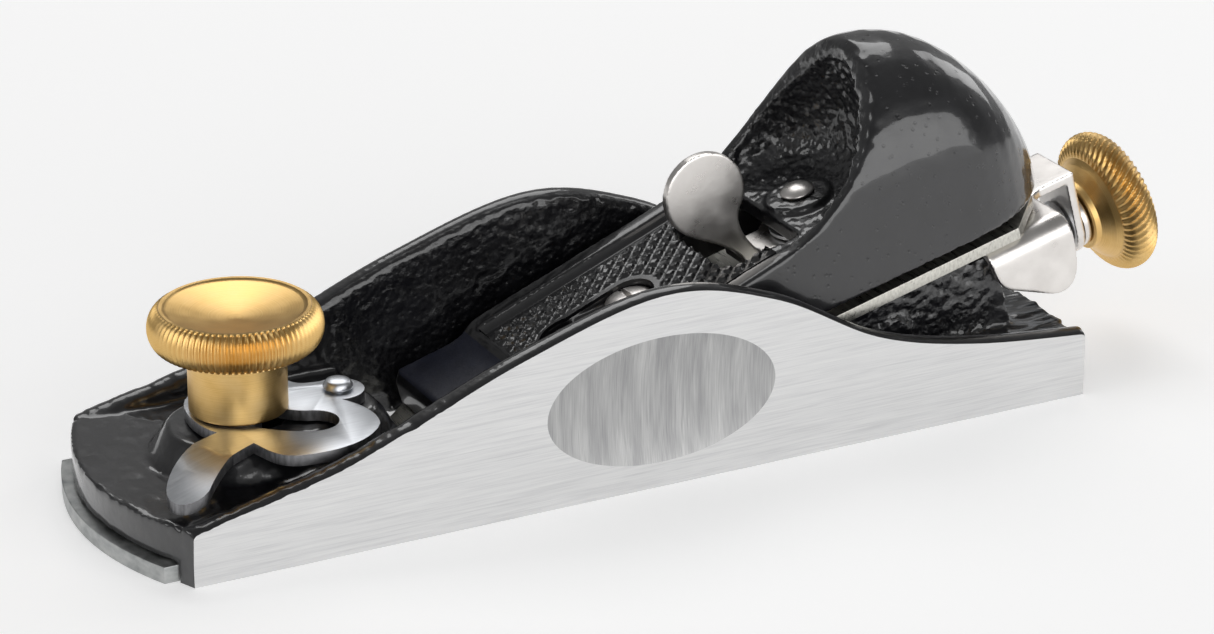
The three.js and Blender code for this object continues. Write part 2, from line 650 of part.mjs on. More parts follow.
// Top edge of the cap's sides, from the nose, up the rails and round the hollow's rim.
const capCrest = heightLine([
  [CAP_START + 1, PAD_HEIGHT - 0.2],
  [PAD_END - 1, PAD_HEIGHT + 0.3],
  [PAD_END + 3, railHeight(PAD_END + 3)],
  [(PAD_END + RAIL_END) / 2, railHeight((PAD_END + RAIL_END) / 2)],
  [RAIL_END, RAIL_END_HEIGHT],
  [RAIL_END + 10, RAIL_END_HEIGHT + 2.2],
  [RAIL_END + 19, RAIL_END_HEIGHT + 7.6],
  [DOME_START - 4, DOME_HEIGHT - 7.4],
  [DOME_START, DOME_HEIGHT - 1.4],
  [DOME_START + 2.5, DOME_HEIGHT],
]);

function capHalfWidth(place) {
  const domeCentre = DOME_START + DOME_LENGTH - DOME_HALF_WIDTH;
  if (place <= domeCentre) {
    const share = THREE.MathUtils.smoothstep(place, PAD_END + 15, RAIL_END + 5);
    return THREE.MathUtils.lerp(CAP_HALF_WIDTH, DOME_HALF_WIDTH, share);
  }
  return DOME_HALF_WIDTH * Math.sqrt(1 - ((place - domeCentre) / (DOME_HALF_WIDTH + 0.2)) ** 2);
}

function domeHeight(place) {
  if (place <= DOME_START) return DOME_HEIGHT;
  return DOME_HEIGHT * Math.sqrt(1 - ((place - DOME_START) / (DOME_LENGTH + 0.3)) ** 2);
}

// One cross-section of the cap's outside: upright sides, and an elliptical arch cut off at the crest.
function capSection(place, inset = 0) {
  const halfWidth = capHalfWidth(place) - inset;
  const height = domeHeight(place) - inset;
  const shoulder = height * DOME_SHOULDER;
  const crest = (place < DOME_START + 2 ? capCrest(place) : DOME_HEIGHT) - inset;
  const arch = spaced(0, Math.PI, 28).map((angle) => {
    const y = halfWidth * Math.cos(angle);
    const z = shoulder + (height - shoulder) * Math.sin(angle);
    return new THREE.Vector3(place, y, Math.min(z, crest));
  });
  const side = Math.min(shoulder, crest) - 0.8;
  return [
    new THREE.Vector3(place, -halfWidth, CAP_HEM),
    new THREE.Vector3(place, halfWidth, CAP_HEM),
    new THREE.Vector3(place, halfWidth, side),
    ...arch,
    new THREE.Vector3(place, -halfWidth, side),
  ];
}

function capOutside() {
  const front = spaced(CAP_START + 1, DOME_START + 2, 48);
  const rearAngles = spaced(0.12, Math.PI / 2 - 0.06, 12);
  const rear = rearAngles.map((angle) => DOME_START + DOME_LENGTH * Math.sin(angle));
  return loft([...front, ...rear.filter((place) => place > DOME_START + 3)].map((place) => capSection(place)));
}

// The bowl in front of the dome: outlines at rising heights, following the dome's arch inside it.
function capHollow() {
  const archHalfWidth = (height) => {
    const shoulder = DOME_HEIGHT * DOME_SHOULDER;
    const share = Math.max(0, (height - shoulder) / (DOME_HEIGHT - shoulder));
    return DOME_HALF_WIDTH * Math.sqrt(Math.max(0, 1 - share ** 2));
  };
  const wallLine = heightLine([
    [HOLLOW_FLOOR, 5],
    [HOLLOW_FLOOR + 0.8, 3.4],
    [HOLLOW_FLOOR + 3.2, 2.4],
    [HOLLOW_FLOOR + 7, HOLLOW_WALL],
    [HOLLOW_FLOOR + 16, HOLLOW_WALL],
    [DOME_HEIGHT - 2, HOLLOW_WALL + 0.6],
    [DOME_HEIGHT + 3, HOLLOW_WALL + 0.6],
  ]);
  const setbackLine = heightLine([
    [HOLLOW_FLOOR, 10.5],
    [HOLLOW_FLOOR + 0.8, 6.2],
    [HOLLOW_FLOOR + 3.2, 3],
    [HOLLOW_FLOOR + 7, 1.2],
    [HOLLOW_FLOOR + 12, 0.2],
    [DOME_HEIGHT - 2, 0.5],
    [DOME_HEIGHT + 3, 0.5],
  ]);
  const levels = [HOLLOW_FLOOR, HOLLOW_FLOOR + 0.8, ...spaced(HOLLOW_FLOOR + 2, DOME_HEIGHT + 3, 18)];
  const front = POCKET_START - 8;
  const rings = levels.map((height) => {
    const arch = archHalfWidth(Math.min(height, DOME_HEIGHT - 1));
    const halfWidth = Math.max(2, arch - wallLine(height));
    const back = DOME_START + 0.5 - setbackLine(height);
    const round = Math.min(halfWidth, 14);
    const bow = spaced(-Math.PI / 2, Math.PI / 2, 28).map((angle) => new THREE.Vector3(
      back - round + round * Math.cos(angle) ** 0.8,
      halfWidth * Math.sin(angle),
      height,
    ));
    return [
      ...bow,
      new THREE.Vector3(front, halfWidth, height),
      new THREE.Vector3(front, -halfWidth, height),
    ];
  });
  return loft(rings);
}

function capUnderside() {
  const floor = CAP_HEM - CUT_MARGIN;
  const inner = CAP_HALF_WIDTH - CAP_WALL;
  const ceiling = (place) => railHeight(place) - PANEL_DEPTH - 4.4;
  const hollow = outline([
    [CAP_START + 5, floor],
    [POCKET_END + 20, floor],
    [POCKET_END + 20, FLOOR_UNDERSIDE],
    [POCKET_START - 2, FLOOR_UNDERSIDE],
    [POCKET_START - 3, ceiling(POCKET_START - 3)],
    [PAD_END + 4, ceiling(PAD_END + 4)],
    [CAP_START + 5, CAP_HEM + 1],
  ]);
  return sideSlab(hollow, -inner, inner);
}

// The space inside the dome, open downwards.
function domeInside() {
  const start = DOME_START + HOLLOW_WALL + 1.5;
  const section = (place) => {
    const outside = capSection(place, CAP_WALL);
    return outside.map((point) => {
      const z = point.z === CAP_HEM ? CAP_HEM - CUT_MARGIN : Math.max(point.z, CAP_HEM);
      return new THREE.Vector3(place, point.y, z);
    });
  };
  return loft(spaced(start, DOME_START + DOME_LENGTH - CAP_WALL - 2.5, 8).map(section));
}

function leverCap() {
  const nose = outline([
    [CAP_START, CAP_SEAT],
    [CAP_START + 4.5, CAP_SEAT],
    [CAP_START + 7, CAP_HEM + 1.4],
    [CAP_START + 2, PAD_HEIGHT - 0.6],
    [CAP_START + 1, PAD_HEIGHT - 0.6],
    [CAP_START, PAD_HEIGHT - 2],
  ]);
  const panelEdge = CAP_HALF_WIDTH - RAIL_LEDGE;
  const panel = outline([
    [PAD_END + 2, railHeight(PAD_END + 2) - PANEL_DEPTH],
    [POCKET_START + 8, railHeight(POCKET_START + 8) - PANEL_DEPTH],
    [POCKET_START + 8, DOME_HEIGHT],
    [PAD_END + 2, DOME_HEIGHT],
  ]);
  const shankRadius = SCREW_RADIUS + ROUND_FIT;
  const headRadius = SCREW_HEAD_RADIUS + ROUND_FIT;
  const bigHole = SCREW_PLACE - CAP_TRAVEL;
  const pocketRound = 4;
  const pocket = new THREE.Shape();
  pocket.absarc(POCKET_START + pocketRound, pocketRound - POCKET_HALF_WIDTH, pocketRound, Math.PI, 1.5 * Math.PI);
  pocket.lineTo(POCKET_END, -POCKET_HALF_WIDTH);
  pocket.lineTo(POCKET_END, POCKET_HALF_WIDTH);
  pocket.absarc(POCKET_START + pocketRound, POCKET_HALF_WIDTH - pocketRound, pocketRound, 0.5 * Math.PI, Math.PI);
  pocket.closePath();
  const shell = cut(
    join(toSolid(capOutside()), toSolid(sideSlab(nose, -CAP_HALF_WIDTH, CAP_HALF_WIDTH))),
    toSolid(capHollow()),
    toSolid(sideSlab(panel, -panelEdge, panelEdge)),
    toSolid(capUnderside()),
    toSolid(domeInside()),
    toSolid(rod(SCREW_HEAD_RADIUS + 0.8, CAP_SEAT - 1, DOME_HEIGHT, bigHole)),
    toSolid(slab(slotShape(bigHole, SCREW_PLACE, shankRadius), CAP_SEAT - 1, DOME_HEIGHT)),
    toSolid(slab(slotShape(bigHole, SCREW_PLACE, headRadius), SCREW_SEAT, DOME_HEIGHT)),
    toSolid(slab(pocket, 0, DOME_HEIGHT)),
  );
  const boss = toSolid(rod(CAM_BOSS_RADIUS, FLOOR_UNDERSIDE, CAM_BOSS_HEIGHT, CAM_PLACE));
  const rivetHole = toSolid(rod(CAM_RIVET_RADIUS + ROUND_FIT, 0, DOME_HEIGHT, CAM_PLACE));
  return cut(join(shell, boss), rivetHole);
}

function leverCapScrew() {
  const seat = SCREW_SEAT + REST_GAP;
  const head = seat + SCREW_HEAD_HEIGHT;
  const screw = toSolid(turned([
    [0, -SCREW_DEPTH],
    [SCREW_RADIUS, -SCREW_DEPTH],
    [SCREW_RADIUS, seat],
    [SCREW_HEAD_RADIUS, seat],
    [SCREW_HEAD_RADIUS, head - 0.9],
    [SCREW_HEAD_RADIUS * 0.7, head - 0.2],
    [0, head],
  ], HOLE_STEPS));
  return cut(screw, toSolid(box(-0.5, 0.5, -6, 6, head - 1.1, head + 1)));
}

// Flat plate and foot turning on the rivet, an arm out of the pocket, and an upright thumb paddle.
function camLever() {
  const armEnd = PADDLE_PLACE + 4 - CAM_PLACE;
  const armSide = PADDLE_FACE + 7.4;
  const arm = box(armEnd, 0, PADDLE_FACE, armSide, CAM_BOTTOM, CAM_TOP);
  const paddle = new THREE.Shape();
  const centreX = PADDLE_PLACE - CAM_PLACE;
  const rightX = centreX + PADDLE_RADIUS * Math.cos(PADDLE_NECK_ANGLE);
  const rightZ = PADDLE_HEIGHT + PADDLE_RADIUS * Math.sin(PADDLE_NECK_ANGLE);
  paddle.moveTo(armEnd + 4.4, CAM_BOTTOM);
  paddle.bezierCurveTo(armEnd + 1.4, CAM_TOP + 2, armEnd - 0.4, PADDLE_HEIGHT - 7.6, rightX, rightZ);
  paddle.absarc(centreX, PADDLE_HEIGHT, PADDLE_RADIUS, PADDLE_NECK_ANGLE, -2.5, false);
  paddle.bezierCurveTo(centreX - 3.6, PADDLE_HEIGHT - 7.6, armEnd, CAM_TOP + 3.6, armEnd, CAM_BOTTOM);
  paddle.closePath();
  const plate = rod(CAM_PLATE_RADIUS, CAM_BOTTOM, CAM_TOP, 0, 0, ROUND_STEPS);
  const foot = rod(CAM_FOOT_RADIUS, CAP_SEAT, CAM_TOP, 0, 0);
  const hole = rod(CAM_RIVET_RADIUS + ROUND_FIT, 0, DOME_HEIGHT, 0, 0);
  const whole = join(
    toSolid(plate),
    toSolid(foot),
    toSolid(arm),
    toSolid(sideSlab(paddle, PADDLE_FACE, PADDLE_FACE + CAM_THICKNESS, 16)),
  );
  return cut(whole, toSolid(hole));
}

function camRivet() {
  const head = CAM_BOSS_HEIGHT + REST_GAP;
  return toSolid(turned([
    [0, CAP_SEAT + 1],
    [CAM_RIVET_RADIUS, CAP_SEAT + 1],
    [CAM_RIVET_RADIUS, head],
    [CAM_RIVET_HEAD, head],
    [CAM_RIVET_HEAD, head + 0.3],
    [CAM_RIVET_HEAD * 0.7, head + 0.9],
    [0, head + 1.2],
  ], HOLE_STEPS));
}

function ringPiece(inner, outer, low, high) {
  return cut(toSolid(rod(outer, low, high)), toSolid(rod(inner, low - 1, high + 1)));
}

function camWasher() {
  const low = CAM_TOP + REST_GAP;
  return ringPiece(CAM_RIVET_RADIUS + ROUND_FIT, CAM_PLATE_RADIUS - 2, low, low + CAM_WASHER_THICKNESS);
}

// --- Lateral lever and depth adjuster ---------------------------------------------------------

// The stamping's section across the ears: a plate whose edges fold down with a round outside.
function foldedSection() {
  const inner = EAR_FOLD - LATERAL_THICKNESS;
  const face = EAR_FACE;
  const shape = new THREE.Shape();
  shape.moveTo(face, -EAR_DEPTH - 2);
  shape.lineTo(face, LATERAL_TOP - EAR_FOLD);
  shape.absarc(face - EAR_FOLD, LATERAL_TOP - EAR_FOLD, EAR_FOLD, 0, Math.PI / 2, false);
  shape.absarc(-face + EAR_FOLD, LATERAL_TOP - EAR_FOLD, EAR_FOLD, Math.PI / 2, Math.PI, false);
  shape.lineTo(-face, -EAR_DEPTH - 2);
  shape.lineTo(-face + LATERAL_THICKNESS, -EAR_DEPTH - 2);
  shape.absarc(-face + EAR_FOLD, LATERAL_TOP - EAR_FOLD, inner, Math.PI, Math.PI / 2, true);
  shape.absarc(face - EAR_FOLD, LATERAL_TOP - EAR_FOLD, inner, Math.PI / 2, 0, true);
  shape.lineTo(face - LATERAL_THICKNESS, -EAR_DEPTH - 2);
  shape.closePath();
  return shape;
}

// The ears' outline from the side, drawn together with the plate between them.
function earOutline() {
  const shape = new THREE.Shape();
  shape.moveTo(EAR_START, LATERAL_TOP + 1);
  shape.lineTo(EAR_START, LATERAL_TOP);
  shape.bezierCurveTo(EAR_START + 0.6, -3, EAR_START + 0.4, -7, EAR_START + 3, -8.6);
  shape.lineTo(EAR_END - 6, -EAR_DEPTH + 0.6);
  shape.quadraticCurveTo(EAR_END - 1.2, -EAR_DEPTH - 1.6, EAR_END, -EAR_DEPTH + 4);
  shape.quadraticCurveTo(EAR_END + 0.6, -5, EAR_END, LATERAL_TOP);
  shape.lineTo(EAR_END, LATERAL_TOP + 1);
  shape.closePath();
  return shape;
}

// One stamping: a plate on the bed, an ear folded down each side and a tongue at the end.
function lateralLever() {
  const ears = toSolid(crossSlab(foldedSection(), EAR_START - 1, EAR_END + 2, 8))
    .intersect(toSolid(sideSlab(earOutline(), -HALF_WIDTH, HALF_WIDTH)));
  const plan = new THREE.Shape();
  plan.absarc(LATERAL_PIVOT, 0, LATERAL_NECK, 0.5 * Math.PI, 1.5 * Math.PI, false);
  plan.lineTo(EAR_START + 1, -LATERAL_NECK);
  plan.lineTo(EAR_START + 1, LATERAL_NECK);
  plan.closePath();
  const neckHalfWidth = TONGUE_HALF_WIDTH + 1.4;
  const neck = outline([
    [EAR_END - 1, -neckHalfWidth],
    [EAR_END + 2, -TONGUE_HALF_WIDTH],
    [TONGUE_FACE, -TONGUE_HALF_WIDTH],
    [TONGUE_FACE, TONGUE_HALF_WIDTH],
    [EAR_END + 2, TONGUE_HALF_WIDTH],
    [EAR_END - 1, neckHalfWidth],
  ]);
  const tongue = new THREE.Shape();
  tongue.moveTo(TONGUE_HALF_WIDTH, LATERAL_TOP);
  tongue.lineTo(-TONGUE_HALF_WIDTH, LATERAL_TOP);
  tongue.absarc(0, -SPINDLE_DEPTH, TONGUE_HALF_WIDTH, Math.PI, 2 * Math.PI, false);
  tongue.closePath();
  const tongueBack = TONGUE_FACE - LATERAL_THICKNESS;
  const spindleHole = alongX(rod(SPINDLE_RADIUS + ROUND_FIT, tongueBack - 1, TONGUE_FACE + 1));
  const pipSlot = slotShape(NUT_PLACE - ADJUST_FORWARD, NUT_PLACE + ADJUST_BACK, PIP_RADIUS + 0.6);
  return cut(
    join(
      ears,
      toSolid(slab(plan, LATERAL_BOTTOM, LATERAL_TOP, 16)),
      toSolid(slab(neck, LATERAL_BOTTOM, LATERAL_TOP)),
      toSolid(crossSlab(tongue, tongueBack, TONGUE_FACE, 16)),
    ),
    toSolid(spindleHole.translate(0, 0, -SPINDLE_DEPTH)),
    toSolid(rod(PIVOT_PIN_RADIUS + ROUND_FIT, -10, 1, LATERAL_PIVOT)),
    toSolid(slab(pipSlot, -10, 1)),
  );
}

function lateralPivotPin() {
  return toSolid(rod(PIVOT_PIN_RADIUS, LATERAL_BOTTOM - 7.5, LATERAL_TOP));
}

// Drawn along Z from the bed frame's origin, then laid along the bed by alongX.
function adjusterSpindle() {
  const start = NUT_PLACE - NUT_LENGTH / 2 - ADJUST_FORWARD - 1;
  const end = WHEEL_FRONT + WHEEL_WIDTH - 0.6;
  return toSolid(alongX(turned([
    [0, start],
    [SPINDLE_RADIUS - 0.6, start],
    [SPINDLE_RADIUS, start + 0.8],
    [SPINDLE_RADIUS, end - 0.5],
    [SPINDLE_RADIUS - 0.5, end],
    [0, end],
  ], HOLE_STEPS)));
}

function spindleRing(radius, start, length) {
  return cut(
    toSolid(alongX(rod(radius, start, start + length))),
    toSolid(alongX(rod(SPINDLE_RADIUS + ROUND_FIT, start - 1, start + length + 1))),
  );
}

function adjusterNut() {
  const low = NUT_BOTTOM + SPINDLE_DEPTH;
  const high = NUT_TOP + SPINDLE_DEPTH;
  const [start, end] = [NUT_PLACE - NUT_LENGTH / 2, NUT_PLACE + NUT_LENGTH / 2];
  return cut(
    toSolid(box(start, end, -NUT_HALF_WIDTH, NUT_HALF_WIDTH, low, high)),
    toSolid(alongX(rod(SPINDLE_RADIUS + ROUND_FIT, start - 1, end + 1))),
    toSolid(rod(PIP_RADIUS + REST_GAP, SPINDLE_RADIUS + 1, high + 1, NUT_PLACE)),
  );
}

function nutPip() {
  return toSolid(rod(PIP_RADIUS, SPINDLE_RADIUS + 1 + REST_GAP, SPINDLE_DEPTH + PIP_RISE));
}

function adjusterWheel() {
  const bore = SPINDLE_RADIUS + ROUND_FIT;
  const front = WHEEL_FRONT;
  const back = front + WHEEL_WIDTH;
  return toSolid(alongX(turned([
    [bore, front],
    [WHEEL_HUB_RADIUS, front],
    [WHEEL_HUB_RADIUS, front + 1],
    [WHEEL_RADIUS - 3.4, front + 3],
    [WHEEL_RADIUS - 1.6, front + 3.2],
    [WHEEL_RADIUS - 0.3, front + 4.4],
    [WHEEL_RADIUS, front + 6.2],
    [WHEEL_RADIUS - 0.3, back - 1.8],
    [WHEEL_RADIUS - 1.6, back - 0.3],
    [WHEEL_RADIUS - 2.6, back],
    [WHEEL_RADIUS * 0.5, back - 1.2],
    [bore, back - 1.6],
    [bore, front],
  ])));
}

// --- Assembly ---------------------------------------------------------------------------------

const blockPlane = new THREE.Group();
blockPlane.add(piece('body_casting', bodyCasting(), 'enamel'));
blockPlane.add(piece('mouth_plate', mouthPlate(), 'groundIron'));

const toeParts = new THREE.Group();
toeParts.position.x = KNOB_X;
toeParts.add(piece('mouth_stud', mouthStud(), 'sheetSteel'));
toeParts.add(piece('front_knob', frontKnob(), 'brass'));
blockPlane.add(toeParts);

const leverParts = new THREE.Group();
leverParts.position.x = RIVET_X;
const lever = piece('eccentric_lever', eccentricLever(), 'sheetSteel');
lever.position.z = LEVER_BOTTOM;
leverParts.add(lever);
leverParts.add(piece('eccentric_rivet', eccentricRivet(), 'sheetSteel'));
blockPlane.add(leverParts);

const bedParts = new THREE.Group();
bedParts.applyMatrix4(bedFrame);
bedParts.add(piece('blade', blade(), 'toolSteel'));
bedParts.add(piece('lever_cap', leverCap(), 'enamel'));
bedParts.add(piece('lateral_lever', lateralLever(), 'nickel'));
blockPlane.add(bedParts);

const screw = piece('lever_cap_screw', leverCapScrew(), 'nickel');
screw.position.x = SCREW_PLACE;
bedParts.add(screw);

const camParts = new THREE.Group();
camParts.position.x = CAM_PLACE;
camParts.add(piece('cam_lever', camLever(), 'nickel'));
camParts.add(piece('cam_rivet', camRivet(), 'nickel'));
camParts.add(piece('cam_washer', camWasher(), 'sheetSteel'));
bedParts.add(camParts);

const pin = piece('lateral_pivot_pin', lateralPivotPin(), 'sheetSteel');
pin.position.x = LATERAL_PIVOT;
bedParts.add(pin);

const spindleParts = new THREE.Group();
spindleParts.position.z = -SPINDLE_DEPTH;
const collarStart = TONGUE_FACE - LATERAL_THICKNESS - REST_GAP - COLLAR_LENGTH;
const collar = spindleRing(COLLAR_RADIUS, collarStart, COLLAR_LENGTH);
const washer = spindleRing(WASHER_RADIUS, TONGUE_FACE + REST_GAP, WASHER_THICKNESS);
spindleParts.add(piece('adjuster_spindle', adjusterSpindle(), 'sheetSteel'));
spindleParts.add(piece('spindle_collar', collar, 'sheetSteel'));
spindleParts.add(piece('spindle_washer', washer, 'nickel'));
spindleParts.add(piece('adjuster_nut', adjusterNut(), 'sheetSteel'));
spindleParts.add(piece('adjuster_wheel', adjusterWheel(), 'brass'));
const pip = piece('nut_pip', nutPip(), 'sheetSteel');
pip.position.x = NUT_PLACE;
spindleParts.add(pip);
bedParts.add(spindleParts);

export default blockPlane;
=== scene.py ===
import json
import math

import bmesh
import bpy
import numpy as np
from mathutils import Matrix, Vector, noise


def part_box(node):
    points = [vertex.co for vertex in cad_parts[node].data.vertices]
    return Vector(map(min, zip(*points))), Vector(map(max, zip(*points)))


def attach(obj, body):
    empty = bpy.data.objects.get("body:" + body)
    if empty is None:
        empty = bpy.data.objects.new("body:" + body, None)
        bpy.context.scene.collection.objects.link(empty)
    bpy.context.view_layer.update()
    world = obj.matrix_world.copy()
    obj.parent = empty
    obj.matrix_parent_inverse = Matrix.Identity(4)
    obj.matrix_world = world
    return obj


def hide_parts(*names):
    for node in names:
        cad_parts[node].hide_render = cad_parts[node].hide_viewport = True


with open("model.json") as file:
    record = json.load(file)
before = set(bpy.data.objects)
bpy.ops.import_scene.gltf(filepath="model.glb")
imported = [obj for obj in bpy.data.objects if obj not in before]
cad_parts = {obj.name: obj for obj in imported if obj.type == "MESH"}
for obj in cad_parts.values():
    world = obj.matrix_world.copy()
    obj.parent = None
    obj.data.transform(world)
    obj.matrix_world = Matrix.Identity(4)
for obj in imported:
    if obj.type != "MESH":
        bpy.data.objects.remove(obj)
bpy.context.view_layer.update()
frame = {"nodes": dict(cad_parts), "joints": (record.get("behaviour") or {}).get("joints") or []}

MM = 0.001

# --- Places that the frame gives ---------------------------------------------------------------

joints = {joint["name"]: joint for joint in frame["joints"]}
BED_AXIS = Vector(joints["cap_slide"]["axis"]).normalized()
BED_NORMAL = Vector(joints["cam_swing"]["axis"]).normalized()
EDGE = Vector((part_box("blade")[0].x, 0, 0))


def placed(origin, along, up):
    """A matrix whose X runs along the first direction and whose Z is the second."""
    side = up.cross(along)
    rows = Matrix((along, side, up)).transposed().to_4x4()
    return Matrix.Translation(origin) @ rows


BED = placed(EDGE, BED_AXIS, BED_NORMAL)
SPINDLE = placed(Vector(joints["depth_wheel_turn"]["pos_m"]), -BED_NORMAL, BED_AXIS)
KNOB = Matrix.Translation(sum(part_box("front_knob"), Vector()) / 2)


def bed_place(point):
    """A point in the bed frame, in millimetres: up the bed, across, and square to it."""
    return BED.inverted() @ Vector(point) / MM


# --- Mesh helpers ------------------------------------------------------------------------------

WELD_DISTANCE = 0.001 * MM
FLAT_ANGLE = math.radians(0.5)      # faces this close to one plane are joined before bevelling
SHARP_ANGLE = math.radians(35)      # edges sharper than this are bevelled
SHADE_ANGLE = math.radians(32)      # edges sharper than this stay a hard line


def points_of(mesh):
    """The mesh's points in metres, one row each."""
    flat = np.empty(len(mesh.vertices) * 3, np.float32)
    mesh.vertices.foreach_get("co", flat)
    return flat.reshape(-1, 3).astype(float)


def normals_of(mesh):
    """The outward direction at each point of the mesh."""
    flat = np.empty(len(mesh.vertices) * 3, np.float32)
    mesh.vertex_normals.foreach_get("vector", flat)
    return flat.reshape(-1, 3).astype(float)


def set_points(mesh, points):
    """Moves the mesh's points to new places in metres."""
    mesh.vertices.foreach_set("co", np.asarray(points, np.float32).ravel())
    mesh.update()


def cad_copy(node):
    """The CAD node's mesh as one welded skin without materials."""
    mesh = frame["nodes"][node].data.copy()
    mesh.materials.clear()
    work = bmesh.new()
    work.from_mesh(mesh)
    bmesh.ops.remove_doubles(work, verts=work.verts, dist=WELD_DISTANCE)
    work.to_mesh(mesh)
    work.free()
    return mesh


def modified(mesh, *steps):
    """The mesh after a row of modifiers, each given as its kind and its settings."""
    holder = bpy.data.objects.new("holder", mesh)
    bpy.context.scene.collection.objects.link(holder)
    for kind, settings in steps:
        modifier = holder.modifiers.new(kind, kind)
        for key, value in settings.items():
            setattr(modifier, key, value)
    graph = bpy.context.evaluated_depsgraph_get()
    result = bpy.data.meshes.new_from_object(holder.evaluated_get(graph))
    bpy.data.objects.remove(holder)
    return result


def softened(mesh, voxel, rounds):
    """The mesh as an even skin with its edges rounded off, as casting and tumbling leave them."""
    return modified(
        mesh,
        ("REMESH", {"mode": "VOXEL", "voxel_size": voxel * MM}),
        ("SMOOTH", {"factor": 0.5, "iterations": rounds}),
    )


def bevelled(mesh, width, turns=3):
    """The mesh with a small round along its sharp edges."""
    work = bmesh.new()
    work.from_mesh(mesh)
    bmesh.ops.dissolve_limit(work, angle_limit=FLAT_ANGLE, verts=work.verts, edges=work.edges)
    work.to_mesh(mesh)
    work.free()
    settings = {
        "width": width * MM,
        "segments": turns,
        "limit_method": "ANGLE",
        "angle_limit": SHARP_ANGLE,
    }
    return modified(mesh, ("BEVEL", settings))


def carved(mesh, cutter):
    """The mesh cut by another; the cut faces keep the cutter's material."""
    tool = bpy.data.objects.new("cutter", cutter)
    bpy.context.scene.collection.objects.link(tool)
    settings = {
        "operation": "DIFFERENCE",
        "solver": "MANIFOLD",
        "object": tool,
        "material_mode": "TRANSFER",
    }
    result = modified(mesh, ("BOOLEAN", settings))
    bpy.data.objects.remove(tool)
    return result


def box_mesh(low, high, paint):
    """A box between two corners, for cutting; the faces that it cuts take its paint."""
    work = bmesh.new()
    bmesh.ops.create_cube(work, size=1)
    middle = (Vector(low) + Vector(high)) / 2
    size = Vector(high) - Vector(low)
    for vertex in work.verts:
        vertex.co = middle + Vector(a * b for a, b in zip(vertex.co, size))
    mesh = bpy.data.meshes.new("box")
    work.to_mesh(mesh)
    work.free()
    mesh.materials.append(paint)
    return mesh


def grid_mesh(points, wrap_columns=False):
    """A skin over rows of points; points that fall together are welded."""
    rows, columns = points.shape[:2]
    row = np.arange(rows - 1)[:, None]
    column = np.arange(columns if wrap_columns else columns - 1)[None, :]
    after = (column + 1) % columns
    corners = [row * columns + column, row * columns + after,
               (row + 1) * columns + after, (row + 1) * columns + column]
    faces = np.stack([np.broadcast_to(corner, corners[0].shape) for corner in corners], -1)
    mesh = bpy.data.meshes.new("skin")
    mesh.from_pydata(points.reshape(-1, 3).tolist(), [], faces.reshape(-1, 4).tolist())
    work = bmesh.new()
    work.from_mesh(mesh)
    bmesh.ops.remove_doubles(work, verts=work.verts, dist=WELD_DISTANCE / 2)
    bmesh.ops.recalc_face_normals(work, faces=work.faces)
    work.to_mesh(mesh)
    work.free()
    return mesh


def rounded(corners, closed=False, steps=6):
    """Points along a line through corners (x, y, radius), where each corner is turned softly."""
    points = []
    for index, (x, y, radius) in enumerate(corners):
        here = Vector((x, y))
        is_end = not closed and index in (0, len(corners) - 1)
        if is_end or radius == 0:
            points.append(here)
            continue
        before = Vector(corners[index - 1][:2]) - here
        after = Vector(corners[(index + 1) % len(corners)][:2]) - here
        reach = radius / math.tan(before.angle(after) / 2)
        start = here + before.normalized() * min(reach, before.length / 2)
        end = here + after.normalized() * min(reach, after.length / 2)
        for share in np.linspace(0, 1, steps + 1):
            points.append(start * (1 - share) ** 2 + here * 2 * share * (1 - share) + end * share ** 2)
    if closed:
        points.append(points[0].copy())
    return points


def arc(centre, radius, start, end, steps):
    """Points on a round or an ellipse, between two angles in degrees."""
    angles = np.radians(np.linspace(start, end, steps))
    wide, high = radius
    return [(centre[0] + wide * math.cos(a), centre[1] + high * math.sin(a)) for a in angles]


def turned(profile, steps=128, relief=None):
    """A skin turned about Z from (radius, height) points; relief gives the depth cut at each place."""
    line = np.array([list(point) for point in profile])
    angles = np.linspace(0, 2 * math.pi, steps, endpoint=False)
    radius = np.repeat(line[:, :1], steps, 1)
    height = np.repeat(line[:, 1:], steps, 1)
    if relief:
        radius = radius - relief(radius, height, angles[None, :])
    points = np.stack([radius * np.cos(angles), radius * np.sin(angles), height], -1)
    return grid_mesh(points * MM, wrap_columns=True)


def shade(mesh):
    """Smooth shading, with a hard line at sharp edges and where two finishes meet."""
    mesh.shade_smooth()
    mesh.set_sharp_from_angle(angle=SHADE_ANGLE)
    work = bmesh.new()
    work.from_mesh(mesh)
    for edge in work.edges:
        if len({face.material_index for face in edge.link_faces}) > 1:
            edge.smooth = False
    work.to_mesh(mesh)
    work.free()


def piece(name, mesh, paints, body, slot, *nodes, place=None):
    """Adds a finished piece that rides on a body and stands for CAD nodes."""
    thing = bpy.data.objects.new(name, mesh)
    bpy.context.scene.collection.objects.link(thing)
    for paint in paints:
        if paint.name not in mesh.materials:
            mesh.materials.append(paint)
    if place is not None:
        thing.matrix_world = place
    shade(mesh)
    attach(thing, body)
    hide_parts(*nodes)


# --- Materials ---------------------------------------------------------------------------------


